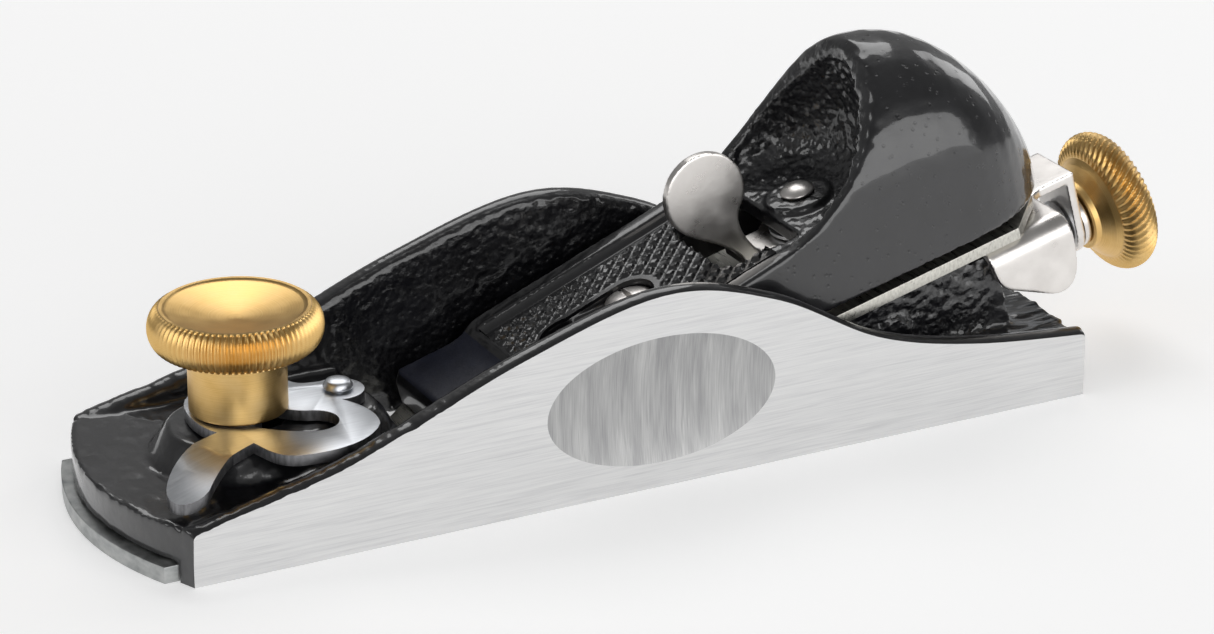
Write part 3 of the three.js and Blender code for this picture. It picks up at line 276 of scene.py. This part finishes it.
class Paint:
    """A node material with one Principled shader, built up by its methods."""

    def __init__(self, name, colour, **sockets):
        self.material = bpy.data.materials.new(name)
        self.material.use_nodes = True
        self.nodes = self.material.node_tree.nodes
        self.links = self.material.node_tree.links
        self.shader = self.nodes["Principled BSDF"]
        self.shader.inputs["Base Color"].default_value = (*colour, 1)
        for socket, value in sockets.items():
            self.shader.inputs[socket.replace("_", " ")].default_value = value
        self.places = self.add("ShaderNodeTexCoord").outputs["Object"]

    def add(self, kind, **settings):
        """A new node of a kind, with its settings."""
        node = self.nodes.new(kind)
        for key, value in settings.items():
            setattr(node, key, value)
        return node

    def stretched(self, scale, turn=(0, 0, 0)):
        """Places measured in millimetres divided by a scale for each axis."""
        mapping = self.add("ShaderNodeMapping")
        mapping.inputs["Rotation"].default_value = turn
        mapping.inputs["Scale"].default_value = [1 / (part * MM) for part in scale]
        self.links.new(self.places, mapping.inputs["Vector"])
        return mapping.outputs["Vector"]

    def noise(self, scale, detail=2.0, turn=(0, 0, 0)):
        """Cloudy values, about one cloud for each scale's millimetres."""
        texture = self.add("ShaderNodeTexNoise")
        texture.inputs["Scale"].default_value = 1
        texture.inputs["Detail"].default_value = detail
        self.links.new(self.stretched(scale, turn), texture.inputs["Vector"])
        return texture.outputs["Fac"]

    def cells(self, scale, feature="F1"):
        """Distance from the middle of scattered cells, a scale's millimetres apart."""
        texture = self.add("ShaderNodeTexVoronoi", feature=feature)
        texture.inputs["Scale"].default_value = 1
        self.links.new(self.stretched(scale), texture.inputs["Vector"])
        return texture.outputs["Distance"]

    def spread(self, value, low, high, out_low, out_high):
        """Maps a value from one range onto another, held at the ends."""
        node = self.add("ShaderNodeMapRange", clamp=True)
        self.links.new(value, node.inputs["Value"])
        for socket, number in zip(("From Min", "From Max", "To Min", "To Max"),
                                  (low, high, out_low, out_high)):
            node.inputs[socket].default_value = number
        return node.outputs["Result"]

    def combine(self, first, second, operation="ADD"):
        """Sums two values, or joins them by another operation; the second may be a number."""
        node = self.add("ShaderNodeMath", operation=operation)
        self.links.new(first, node.inputs[0])
        if isinstance(second, (int, float)):
            node.inputs[1].default_value = second
        else:
            self.links.new(second, node.inputs[1])
        return node.outputs["Value"]

    def attribute(self, name):
        """A value stored on the mesh's points."""
        return self.add("ShaderNodeAttribute", attribute_name=name).outputs["Fac"]

    def colours(self, value, *stops):
        """A colour ramp driven by a value, through (place, colour) stops."""
        ramp = self.add("ShaderNodeValToRGB")
        while len(ramp.color_ramp.elements) < len(stops):
            ramp.color_ramp.elements.new(0.5)
        for element, (place, colour) in zip(ramp.color_ramp.elements, stops):
            element.position = place
            element.color = (*colour, 1)
        self.links.new(value, ramp.inputs["Fac"])
        self.links.new(ramp.outputs["Color"], self.shader.inputs["Base Color"])

    def drive(self, socket, value):
        """Sends a value into one of the shader's sockets."""
        self.links.new(value, self.shader.inputs[socket])
        return self

    def bump(self, *layers):
        """Stacks bumps, each a height and the depth in millimetres that it stands for."""
        below = None
        for height, depth in layers:
            node = self.add("ShaderNodeBump")
            node.inputs["Strength"].default_value = 1
            node.inputs["Distance"].default_value = depth * MM
            self.links.new(height, node.inputs["Height"])
            if below:
                self.links.new(below, node.inputs["Normal"])
            below = node.outputs["Normal"]
        return self.drive("Normal", below)


def enamel():
    """Gloss black enamel over a rough casting; the piece's roughcast value says how rough."""
    paint = Paint("gloss_black_enamel", (0.004, 0.004, 0.0055), Metallic=0, IOR=1.45)
    paint.shader.inputs["Coat Weight"].default_value = 1
    paint.shader.inputs["Coat Roughness"].default_value = 0.09
    paint.shader.inputs["Coat IOR"].default_value = 1.55
    cloud = paint.noise((6, 6, 6), 3)
    paint.colours(cloud, (0.3, (0.003, 0.003, 0.004)), (0.75, (0.007, 0.007, 0.009)))
    paint.drive("Roughness", paint.spread(cloud, 0.3, 0.7, 0.3, 0.45))
    roughcast = paint.attribute("roughcast")
    pebbles = paint.combine(paint.cells((1.1, 1.1, 1.1), "SMOOTH_F1"), roughcast, "MULTIPLY")
    grains = paint.combine(paint.noise((0.7, 0.7, 0.7), 2), roughcast, "MULTIPLY")
    pits = paint.spread(paint.cells((1.7, 1.7, 1.7)), 0.04, 0.22, 0, 1)
    pits = paint.combine(pits, paint.attribute("pitted"), "MULTIPLY")
    waves = paint.noise((2.6, 2.6, 2.6), 2)
    return paint.bump((waves, 0.06), (pebbles, 0.5), (grains, 0.3), (pits, 0.16)).material


def pad_enamel():
    """The flat satin pad at the front of the cap; its blue-black tint is a painted reflection on the
    up-facing face.
    """
    paint = Paint("pad_enamel_reflection_tint", (0.006, 0.008, 0.016), Metallic=0)
    # Blue-black stops: painted reflection on the pad's up-facing faces.
    paint.colours(paint.noise((3, 3, 3), 4), (0.3, (0.011, 0.013, 0.026)), (0.8, (0.02, 0.024, 0.044)))
    paint.drive("Roughness", paint.spread(paint.noise((1, 1, 1), 3), 0.3, 0.7, 0.32, 0.48))
    return paint.bump((paint.noise((0.5, 0.5, 0.5), 3), 0.03)).material


def ground_iron():
    """The cheeks and sole: grey iron ground lengthwise, with fine scratches."""
    paint = Paint("ground_cheek_iron", (0.7, 0.7, 0.7), Metallic=1)
    lines = paint.noise((6, 1, 0.09), 4, turn=(0, 0.03, 0))
    broad = paint.noise((16, 5, 0.5), 3)
    both = paint.combine(lines, broad, "MULTIPLY")
    paint.colours(both, (0.1, (0.6, 0.6, 0.605)), (0.25, (0.7, 0.7, 0.7)), (0.42, (0.75, 0.75, 0.745)))
    paint.drive("Roughness", paint.spread(lines, 0.3, 0.7, 0.34, 0.5))
    return paint.bump((lines, 0.01)).material


def dished_iron():
    """The finger dishes: ground the other way, so the marks run up and down; their colour is painted
    darker than the cheeks' as painted shade.
    """
    paint = Paint("ground_dish_iron_painted_shade", (0.5, 0.5, 0.5), Metallic=1)
    lines = paint.noise((0.12, 1, 7), 4)
    broad = paint.noise((2, 3, 16), 3)
    both = paint.combine(lines, broad, "MULTIPLY")
    # Darker stops than the cheeks' grind: painted shade on the dishes.
    paint.colours(both, (0.1, (0.3, 0.3, 0.305)), (0.25, (0.42, 0.42, 0.42)), (0.42, (0.54, 0.54, 0.535)))
    paint.drive("Roughness", paint.spread(lines, 0.3, 0.7, 0.3, 0.46))
    return paint.bump((lines, 0.02)).material


def machined_iron():
    """The sliding toe plate: dull grey machined iron with cloudy stains."""
    paint = Paint("machined_plate_iron", (0.3, 0.3, 0.3), Metallic=1)
    cloud = paint.noise((2.5, 2.5, 1.5), 5)
    paint.colours(cloud, (0.25, (0.27, 0.28, 0.28)), (0.55, (0.46, 0.47, 0.465)), (0.8, (0.6, 0.6, 0.59)))
    paint.drive("Roughness", paint.spread(cloud, 0.3, 0.7, 0.36, 0.55))
    return paint.bump((paint.noise((0.35, 0.35, 0.35), 3), 0.03)).material


def tool_steel():
    """The blade: ground steel with a warm cast and crosswise marks."""
    paint = Paint("blade_tool_steel", (0.6, 0.59, 0.54), Metallic=1)
    marks = paint.noise((0.4, 6, 0.8), 4)
    paint.colours(marks, (0.2, (0.4, 0.39, 0.35)), (0.5, (0.6, 0.59, 0.54)), (0.8, (0.76, 0.74, 0.68)))
    paint.drive("Roughness", paint.spread(marks, 0.3, 0.7, 0.24, 0.42))
    return paint.bump((marks, 0.015)).material


def plated_steel(name, dark, light, sheen):
    """Zinc-plated stampings and fasteners: brushed, a little blue, with a soft sheen."""
    paint = Paint(name, light, Metallic=1)
    marks = paint.noise((6, 0.4, 2), 4, turn=(0, 0, 0.5))
    paint.colours(marks, (0.25, dark), (0.7, light))
    paint.drive("Roughness", paint.spread(marks, 0.3, 0.7, sheen, sheen + 0.1))
    return paint.bump((marks, 0.004)).material


def nickel():
    """Bright nickel plate with a faint warm tint and tiny dimples."""
    paint = Paint("bright_nickel", (0.8, 0.77, 0.74), Metallic=1)
    cloud = paint.noise((4, 4, 4), 3)
    paint.colours(cloud, (0.3, (0.72, 0.69, 0.66)), (0.7, (0.84, 0.81, 0.78)))
    paint.drive("Roughness", paint.spread(cloud, 0.3, 0.7, 0.26, 0.36))
    return paint.bump((paint.noise((0.8, 0.8, 0.8), 2), 0.01)).material


def brass():
    """Satin brass with turning rings and a little tarnish."""
    ring_pitch = 0.22
    cone_spread = 1.7        # how much faster the rings pass along the axis than outwards
    paint = Paint("satin_brass", (0.78, 0.53, 0.2), Metallic=1)
    paint.shader.inputs["Anisotropic"].default_value = 0.55
    tangent = paint.add("ShaderNodeTangent", direction_type="RADIAL", axis="Z")
    paint.drive("Tangent", tangent.outputs["Tangent"])
    split = paint.add("ShaderNodeSeparateXYZ")
    paint.links.new(paint.stretched((1, 1, 1)), split.inputs[0])
    across = paint.combine(split.outputs["X"], 2, "POWER")
    deep = paint.combine(split.outputs["Y"], 2, "POWER")
    radius = paint.combine(paint.combine(across, deep), 0.5, "POWER")
    height = paint.combine(split.outputs["Z"], cone_spread, "MULTIPLY")
    rings = paint.add("ShaderNodeTexNoise", noise_dimensions="1D")
    rings.inputs["Scale"].default_value = 1 / ring_pitch
    rings.inputs["Detail"].default_value = 3
    paint.links.new(paint.combine(radius, height), rings.inputs["W"])
    cloud = paint.noise((3.5, 3.5, 3.5), 4)
    half_cloud = paint.combine(cloud, 0.5, "MULTIPLY")
    half_rings = paint.combine(rings.outputs["Fac"], 0.5, "MULTIPLY")
    both = paint.combine(half_cloud, half_rings)
    paint.colours(both, (0.3, (0.64, 0.4, 0.13)), (0.5, (0.76, 0.5, 0.19)), (0.72, (0.83, 0.59, 0.27)))
    paint.drive("Roughness", paint.spread(cloud, 0.3, 0.7, 0.3, 0.4))
    return paint.bump((rings.outputs["Fac"], 0.003)).material


black = enamel()
pad_reflection_tint = pad_enamel()
cheek_grind = ground_iron()
dish_grind_painted_shade = dished_iron()
plate_iron = machined_iron()
steel = tool_steel()
zinc = plated_steel("zinc_plated_steel", (0.62, 0.64, 0.67), (0.72, 0.74, 0.77), 0.3)
# Dark copy of the plated steel for the toe lever's side faces: the dark colour is painted shade; the
# rougher sheen is the sheared finish.
sheared_edge_painted_shade = plated_steel("sheared_sheet_edge_painted_shade", (0.12, 0.12, 0.125), (0.3, 0.3, 0.31), 0.4)
bright = nickel()
turned_brass = brass()


# --- Casting skins -----------------------------------------------------------------------------


def fractal(points, scale, where, octaves=2):
    """Smooth random values from -1 to 1, about one hill for each scale's millimetres."""
    values = np.zeros(len(points))
    used = where > 0.01
    stretched = points[used] / (np.array(scale) * MM)
    values[used] = [noise.fractal(Vector(point), 1, 2, octaves) for point in stretched]
    return values * where


def within(values, low, high, soft):
    """1 between two limits and 0 outside them, with soft shoulders."""
    rise = np.clip((values - low) / soft + 0.5, 0, 1)
    fall = np.clip((high - values) / soft + 0.5, 0, 1)
    return rise * fall


def set_texture(mesh, **layers):
    """Stores how rough or pitted the enamel is at each point."""
    for name, values in layers.items():
        layer = mesh.attributes.new(name, "FLOAT", "POINT")
        layer.data.foreach_set("value", np.asarray(values, np.float32))


ALLOWANCE = 0.7          # iron left on the casting's sides and sole for grinding off
TOE_BULGE = 7.1          # toe's bow in front of the cheeks
DISH_HALF_SIZE = (20.3, 10.7)
DISH_DEPTH = 1.1
DISH_HEIGHT = 15.0
DISH_FROM_CHEEK = 79.5   # front end of the cheeks to the dish's middle
BODY_VOXEL = 0.5
CAP_VOXEL = 0.4
TOE_REAR = -37           # rear end of the toe deck along X
POST_REAR = 68           # rear end of the post under the blade along X
POST_SIDE = 15.5
POST_FOOT = 4.6
HEEL_REAR = 90
HEEL_SIDE = 21.5
WALL_DEPTHS = (3.4, 5.5) # the cheeks' inner faces, measured in from their outer ones
CUTTER_REACH = 0.2       # metres, past every side of the casting


def body_blank():
    """The casting before grinding: oversize at its sides and sole, and with no finger dishes."""
    mesh = cad_copy("body_casting")
    points = points_of(mesh) / MM
    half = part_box("body_casting")[1].y / MM
    middle = dish_middle()
    inside = ((points[:, 0] - middle) / (DISH_HALF_SIZE[0] + 0.5)) ** 2
    inside += ((points[:, 2] - DISH_HEIGHT) / (DISH_HALF_SIZE[1] + 0.5)) ** 2
    on_side = np.abs(points[:, 1]) > half - 0.01
    on_dish = (inside < 1) & (np.abs(points[:, 1]) > half - DISH_DEPTH - 0.2)
    moved = on_side | on_dish
    points[moved, 1] = np.sign(points[moved, 1]) * (half + ALLOWANCE)
    points[points[:, 2] < 0.01, 2] = -ALLOWANCE
    set_points(mesh, points * MM)
    return mesh


def dish_middle():
    """The dishes' middle along X, in millimetres."""
    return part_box("body_casting")[0].x / MM + TOE_BULGE + DISH_FROM_CHEEK


def dish_cutter(side):
    """A lens whose inner face is a shallow slice of a large ellipsoid."""
    roundness = 8
    reach = DISH_DEPTH / (1 - math.sqrt(1 - 1 / roundness))
    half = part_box("body_casting")[1].y / MM
    shares = np.linspace(0, 1.25, 60)
    angles = np.linspace(0, 2 * math.pi, 240, endpoint=False)
    sunk = reach * (np.sqrt(1 - shares ** 2 / roundness) - math.sqrt(1 - 1 / roundness))
    lens = np.zeros((len(shares) + 1, len(angles), 3))
    lens[:-1, :, 0] = dish_middle() + DISH_HALF_SIZE[0] * shares[:, None] * np.cos(angles)
    lens[:-1, :, 1] = side * (half - sunk[:, None])
    lens[:-1, :, 2] = DISH_HEIGHT + DISH_HALF_SIZE[1] * shares[:, None] * np.sin(angles)
    lens[-1] = (dish_middle(), side * (half + 2), DISH_HEIGHT)
    mesh = grid_mesh(lens * MM, wrap_columns=True)
    # The dish faces take the darker grind, which is painted shade.
    mesh.materials.append(dish_grind_painted_shade)
    return mesh


def cast_body():
    """The body casting: rough enamelled skin, then ground cheeks, sole and finger dishes."""
    mesh = softened(body_blank(), BODY_VOXEL, 5)
    points = points_of(mesh)
    x, y, z = (points / MM).T
    low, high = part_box("body_casting")
    half = high.y / MM
    post = within(x, 0, POST_REAR, 4) * within(np.abs(y), -1, POST_SIDE, 1)
    post = post * within(z, POST_FOOT, 40, 1)
    toe = within(x, low.x / MM - 2, TOE_REAR, 3)
    heel = within(x, POST_REAR, HEEL_REAR, 4) * within(np.abs(y), -1, HEEL_SIDE, 2)
    near, deep = WALL_DEPTHS
    wall = within(np.abs(y), half - deep, half - near, 0.6)
    rough = 0.06 + 0.9 * post + 0.6 * wall * (1 - toe)
    relief = 0.4 * fractal(points, (1.3, 1.3, 1.3), post)
    relief += 0.1 * fractal(points, (1.3, 4.5, 1.3), toe) + 0.2 * fractal(points, (5, 6, 5), toe)
    relief += 0.34 * fractal(points, (6, 1.6, 3), heel)
    relief += 0.2 * fractal(points, (1.7, 1.7, 1.7), wall * (1 - toe))
    facing = normals_of(mesh)
    calm = 1 - 0.75 * toe * within(-facing[:, 0], 0.5, 2, 0.2)
    set_points(mesh, points + facing * (relief * calm * MM)[:, None])
    set_texture(mesh, roughcast=rough, pitted=rough * 0)
    mesh.materials.append(black)
    far = CUTTER_REACH
    for side in (-1, 1):
        low_y, high_y = sorted((side * half * MM, side * far))
        mesh = carved(mesh, box_mesh((-far, low_y, -far), (far, high_y, far), cheek_grind))
    mesh = carved(mesh, box_mesh((-far, -far, -far), (far, far, 0), cheek_grind))
    for side in (-1, 1):
        mesh = carved(mesh, dish_cutter(side))
    piece("plane_body", mesh, [black], "body", "black_enamel", "body_casting")


# --- Lever cap ---------------------------------------------------------------------------------

# Places on the cap are in the bed frame, in millimetres: up the bed from the blade's edge, across
# from the middle, and square to the bed.
PAD_END = 17.0
RAIL_HEIGHT = 10.3       # at the pad's end, over the blade's underside
RAIL_SLOPE = 5.3 / 40
PANEL_START = 19.0
PANEL_REAR = 61.6
PANEL_HALF_WIDTH = 14.4
PANEL_DEPTH = 1.4
PANEL_STEP = 0.18
STUD_PITCH = 3.3
STUD_LEAN = 1.2          # slant of the rows of studs
STUD_HEIGHT = 0.62
SIDE_RISE = 1.15
SCREW_PLACE = 40.5
KEYHOLE_PLACE = 28.5
KEYHOLE_RADIUS = 4.9
SLOT_HALF_WIDTH = 4.45   # the keyhole's slot, between its round hole and the screw's place
POCKET_START = 54
POCKET_REAR = 80
POCKET_HALF_WIDTH = 10.4
DOME_START = 60
HOLLOW_START, HOLLOW_REAR = 62, 89
HOLLOW_HALF_WIDTH = 16.4
HOLLOW_FLOOR, HOLLOW_TOP = 14, 37


def cap_skin():
    """The cap's casting: smooth rails and rim, pebbled hollow and finely pitted dome."""
    mesh = softened(cad_copy("lever_cap"), CAP_VOXEL, 12)
    points = points_of(mesh)
    facing = normals_of(mesh)
    inverse = np.array(BED.inverted())
    station, across, height = ((points @ inverse[:3, :3].T + inverse[:3, 3]) / MM).T
    outward = facing[:, 1] * np.sign(across)
    inside = within(-outward, 0, 2, 0.25) * within(-facing @ np.array(BED_AXIS), -0.2, 2, 0.3)
    hollow = within(station, HOLLOW_START, HOLLOW_REAR, 3)
    hollow = hollow * within(np.abs(across), -1, HOLLOW_HALF_WIDTH, 1)
    hollow = hollow * within(height, HOLLOW_FLOOR, HOLLOW_TOP, 1) * inside
    dome = within(station, DOME_START, 130, 4) * (1 - hollow)
    relief = 0.3 * fractal(points, (1.3, 1.3, 1.3), hollow)
    relief += 0.06 * fractal(points, (4, 4, 4), dome)
    set_points(mesh, points + facing * (relief * MM)[:, None])
    set_texture(mesh, roughcast=0.03 + 0.7 * hollow, pitted=dome)
    mesh.materials.append(black)
    mesh.materials.append(pad_reflection_tint)
    # The pad's up-facing faces take the blue-black painted reflection.
    for face in mesh.polygons:
        place = bed_place(face.center)
        upward = face.normal.dot(BED_NORMAL)
        if place.x < PAD_END + 0.5 and upward > 0.6 and place.z > 6.5:
            face.material_index = 1
    piece("cap_casting", mesh, [black], "cap", "black_enamel", "lever_cap")


def in_bed(points):
    """Points of the bed frame, in millimetres, as places in metres."""
    matrix = np.array(BED)
    return points @ matrix[:3, :3].T * MM + matrix[:3, 3]


def prism(line, low, high):
    """A cutting solid over a closed line in the bed plane, between two heights."""
    line = np.array([list(point) for point in line])
    middle = np.broadcast_to(line.mean(0), line.shape)
    levels = [(middle, low), (line, low), (line, high), (middle, high)]
    rows = [np.column_stack([outline, np.full(len(outline), level)]) for outline, level in levels]
    return grid_mesh(in_bed(np.array(rows)), wrap_columns=True)


def slot_line(start, end, radius):
    """A slot with round ends, lying up the bed."""
    lower = arc((start, 0), (radius, radius), 90, 270, 32)
    return lower + arc((end, 0), (radius, radius), -90, 90, 32)


def cap_panel():
    """The sunk panel between the rails: rows of small diamond studs, with sides that slope up."""
    half = PANEL_HALF_WIDTH - 0.15
    stations = np.arange(PANEL_START + 0.1, PANEL_REAR, PANEL_STEP)
    station, across = np.meshgrid(stations, np.linspace(-half, half, 160), indexing="ij")
    base = RAIL_HEIGHT + RAIL_SLOPE * (station - PAD_END) - PANEL_DEPTH
    rows = [np.abs(0.5 - np.mod((station + lean * across) / STUD_PITCH, 1)) * 2
            for lean in (STUD_LEAN, -STUD_LEAN)]
    stud = np.clip((np.minimum(*rows) - 0.2) / 0.34, 0, 1)
    stud = stud * stud * (3 - 2 * stud)
    lumps = [noise.noise(Vector((*place, 0))) for place in zip(station.ravel(), across.ravel())]
    lumps = np.array(lumps).reshape(station.shape)
    past_slot = np.maximum(0, station - SCREW_PLACE) + np.minimum(0, station - KEYHOLE_PLACE)
    open_floor = within(np.abs(across), -1, 12.0 + 0.6 * lumps, 0.6)
    open_floor = open_floor * within(station, PANEL_START + 1.2, 90, 1)
    open_floor = open_floor * within(np.hypot(past_slot, across), KEYHOLE_RADIUS + 1, 90, 0.6)
    side_slope = np.clip((np.abs(across) - 13.1) / 1.2, 0, 1) ** 1.6
    studs = STUD_HEIGHT * stud * open_floor * (0.9 + 0.2 * lumps)
    top = base + 0.12 + studs + SIDE_RISE * side_slope
    points = np.stack([station, across, top], -1)
    floor_points = np.stack([station, across, base - 0.5], -1)
    ring = np.concatenate([points, floor_points[:, ::-1]], 1)
    ends = [np.repeat(ring[index].mean(0)[None], ring.shape[1], 0)[None] for index in (0, -1)]
    mesh = grid_mesh(in_bed(np.concatenate([ends[0], ring, ends[1]])), wrap_columns=True)
    mesh.materials.append(black)
    pocket = rounded([
        (POCKET_START, -POCKET_HALF_WIDTH, 4),
        (POCKET_REAR, -POCKET_HALF_WIDTH, 0),
        (POCKET_REAR, POCKET_HALF_WIDTH, 0),
        (POCKET_START, POCKET_HALF_WIDTH, 4),
    ], closed=True)[:-1]
    round_hole = slot_line(KEYHOLE_PLACE, KEYHOLE_PLACE + 0.01, KEYHOLE_RADIUS)
    screw_slot = slot_line(KEYHOLE_PLACE, SCREW_PLACE, SLOT_HALF_WIDTH)
    for line in (round_hole, screw_slot, pocket):
        mesh = carved(mesh, prism(line, 0, 40))
    count = len(mesh.vertices)
    set_texture(mesh, roughcast=np.full(count, 0.02), pitted=np.zeros(count))
    piece("studded_panel", mesh, [black], "cap", "black_enamel")


# --- Turned pieces -----------------------------------------------------------------------------


def knob():
    """The front knob: a round stem under a wide head with a ridged rim and a shallow cone on top."""
    low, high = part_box("front_knob")
    half = (high.z - low.z) / MM / 2
    radius = (high.x - low.x) / MM / 2
    stem, stem_height, bore = 7.8, 10.4, 3.85
    rim_round = 2.6
    lip_drop, cone_depth = 0.3, 1.9
    stem_top = -half + stem_height
    rim_middle = (stem_top + half) / 2
    rim_half = (half - stem_top) / 2
    ridge_count, ridge_depth = 80, 0.6

    def ridges(radii, heights, angles):
        share = np.clip((radii - (radius - 1.9)) / 0.5, 0, 1)
        wave = (0.5 - 0.5 * np.cos(angles * ridge_count)) ** 0.7
        return ridge_depth * share * wave

    profile = [(bore, stem_top), (bore, -half + 0.4), (bore + 0.4, -half)]
    profile += rounded([(bore + 0.4, -half, 0), (stem, -half, 0.4), (stem, stem_top, 0.5),
                        (radius - rim_round, stem_top, 0)])
    profile += arc((radius - rim_round, rim_middle), (rim_round, rim_half), -90, 74, 40)
    lip = radius - 2.0
    profile += [(lip, half), (lip - 0.5, half - 0.05), (lip - 0.8, half - lip_drop)]
    profile += [(lip * (1 - share) * 0.93, half - lip_drop - cone_depth * (1 - (1 - share) ** 1.35))
                for share in np.linspace(0.04, 1, 24)]
    profile += [(0.0, half - lip_drop - cone_depth)]
    closed = [(0.0, stem_top)] + profile
    mesh = turned(closed, ridge_count * 8, ridges)
    piece("ridged_knob", mesh, [turned_brass], "knob", "brass", "front_knob", place=KNOB)


def wheel():
    """The adjuster wheel: a smooth cone towards the blade, a rope-ridged rim and a dished back."""
    to_spindle = SPINDLE.inverted()
    corners = [to_spindle @ vertex.co for vertex in frame["nodes"]["adjuster_wheel"].data.vertices]
    front = min(corner.z for corner in corners) / MM
    back = max(corner.z for corner in corners) / MM
    radius = max(math.hypot(corner.x, corner.y) for corner in corners) / MM
    bore, hub = 2.75, 6.2
    rim_round, cone_length = 3.3, 3.4
    rim = (radius - rim_round, (front + cone_length + back) / 2)
    rim_half = (back - front - cone_length) / 2
    ridge_count, ridge_depth, twist = 56, 0.6, 0.055

    def ridges(radii, heights, angles):
        share = np.clip((radii - (radius - 3.1)) / 0.7, 0, 1)
        wave = (0.5 - 0.5 * np.cos((angles + twist * (heights - rim[1])) * ridge_count)) ** 0.8
        return ridge_depth * share * wave

    profile = rounded([(bore, front, 0), (hub, front, 0.3), (hub, front + 1.1, 0.3),
                       (radius - 4.2, front + 2.6, 0.8), (radius - rim_round, front + cone_length, 0)])
    profile = [tuple(point) for point in profile]
    profile += arc(rim, (rim_round, rim_half), -90, 90, 32)
    profile += [(radius * 0.5, back - 1.2), (bore + 0.4, back - 1.6), (bore, back - 1.9), (bore, front)]
    mesh = turned(profile, ridge_count * 10, ridges)
    piece("ridged_wheel", mesh, [turned_brass], "depth_screw", "brass", "adjuster_wheel", place=SPINDLE)


# --- Sheet and plate pieces --------------------------------------------------------------------


def stampings():
    """Bent sheet gets a soft skin; flat plates keep their faces and get rounded edges."""
    sheets = [
        ("cap_cam_lever", "cam_lever", 0.2, 6, bright, "cam", "nickel"),
        ("eared_lever", "lateral_lever", 0.25, 6, bright, "lateral", "nickel"),
    ]
    for name, node, voxel, rounds, paint, body, slot in sheets:
        piece(name, softened(cad_copy(node), voxel, rounds), [paint], body, slot, node)
    plates = [
        ("toe_lever", "eccentric_lever", 0.22, zinc, "mouth_lever", "sheet_steel"),
        ("toe_plate", "mouth_plate", 0.35, plate_iron, "sliding_toe", "ground_iron"),
        ("plane_blade", "blade", 0.15, steel, "blade_carriage", "tool_steel"),
    ]
    for name, node, round_width, paint, body, slot in plates:
        mesh = bevelled(cad_copy(node), round_width)
        paints = [paint]
        if node == "eccentric_lever":
            paints.append(sheared_edge_painted_shade)
            # Side faces take the dark copy of the plated steel, as painted shade.
            for face in mesh.polygons:
                is_side = abs(face.normal.z) < 0.3
                face.material_index = int(is_side)
        piece(name, mesh, paints, body, slot, node)


def small_fasteners():
    """Rivets, screw, washers and spindle keep their CAD shape with softened edges."""
    rows = [
        ("toe_rivet", "eccentric_rivet", 0.12, zinc, "body", "sheet_steel"),
        ("cap_screw", "lever_cap_screw", 0.12, bright, "cap_screw", "nickel"),
        ("cap_rivet", "cam_rivet", 0.1, bright, "cap", "nickel"),
        ("wheel_washer", "spindle_washer", 0.15, bright, "depth_screw", "nickel"),
        ("tongue_collar", "spindle_collar", 0.15, zinc, "depth_screw", "sheet_steel"),
        ("threaded_spindle", "adjuster_spindle", 0.1, zinc, "depth_screw", "sheet_steel"),
    ]
    for name, node, round_width, paint, body, slot in rows:
        piece(name, bevelled(cad_copy(node), round_width, 2), [paint], body, slot, node)
    for node in ("mouth_stud", "adjuster_nut", "nut_pip", "lateral_pivot_pin", "cam_washer"):
        thing = frame["nodes"][node]
        thing.data.materials.clear()
        thing.data.materials.append(zinc)


# --- Stage -------------------------------------------------------------------------------------


def floor():
    """The pale floor that the plane stands on."""
    work = bmesh.new()
    bmesh.ops.create_grid(work, x_segments=1, y_segments=1, size=3)
    mesh = bpy.data.meshes.new("floor")
    work.to_mesh(mesh)
    work.free()
    thing = bpy.data.objects.new("floor", mesh)
    bpy.context.scene.collection.objects.link(thing)
    paint = Paint("pale_floor", (0.82, 0.82, 0.82), Roughness=0.9)
    paint.shader.inputs["Emission Color"].default_value = (1, 1, 1, 1)
    paint.shader.inputs["Emission Strength"].default_value = 0.42
    mesh.materials.append(paint.material)


def soft_box(name, place, target, size, brightness):
    """A rectangular studio light that shows the same brightness at any size."""
    data = bpy.data.lights.new(name, "AREA")
    data.shape = "RECTANGLE"
    data.size, data.size_y = size
    data.energy = brightness * math.pi * size[0] * size[1]
    lamp = bpy.data.objects.new(name, data)
    bpy.context.scene.collection.objects.link(lamp)
    lamp.location = place
    direction = Vector(target) - Vector(place)
    lamp.rotation_euler = direction.to_track_quat("-Z", "Y").to_euler()


def studio():
    """A dim even surround and four soft boxes."""
    world = bpy.data.worlds.new("studio")
    bpy.context.scene.world = world
    world.use_nodes = True
    background = world.node_tree.nodes["Background"]
    background.inputs["Color"].default_value = (1, 1, 1, 1)
    background.inputs["Strength"].default_value = 0.2
    soft_box("front_soft_box", (0.15, -1.15, 0.42), (0.15, 0, 0.3), (1.9, 0.8), 2.1)
    soft_box("left_soft_box", (-1.1, 0.1, 0.55), (0, 0, 0.02), (0.5, 0.5), 2.2)
    soft_box("top_soft_box", (0.3, 0.7, 0.95), (0, 0, 0), (0.8, 0.6), 2.4)
    soft_box("right_soft_box", (1.1, 0.5, 0.5), (0, 0, 0.02), (0.4, 0.6), 1.8)
    bpy.context.scene.view_settings.view_transform = "Standard"


def camera():
    """The viewpoint: from above the toe's end and one cheek, aimed at the middle of the plane."""
    azimuth, elevation = math.radians(-27.285), math.radians(22.559)
    distance = 665.56 * MM
    target = Vector((3.19, 0, 19.125)) * MM
    back = Vector((
        math.sin(azimuth) * math.cos(elevation),
        -math.cos(azimuth) * math.cos(elevation),
        math.sin(elevation),
    ))
    data = bpy.data.cameras.new("camera")
    data.lens = 121.46
    data.sensor_width = 36
    data.clip_start = 10 * MM
    view = bpy.data.objects.new("camera", data)
    bpy.context.scene.collection.objects.link(view)
    view.location = target + back * distance
    view.rotation_euler = (-back).to_track_quat("-Z", "Y").to_euler()
    bpy.context.scene.camera = view


camera()
cast_body()
cap_skin()
cap_panel()
knob()
wheel()
stampings()
small_fasteners()
floor()
studio()
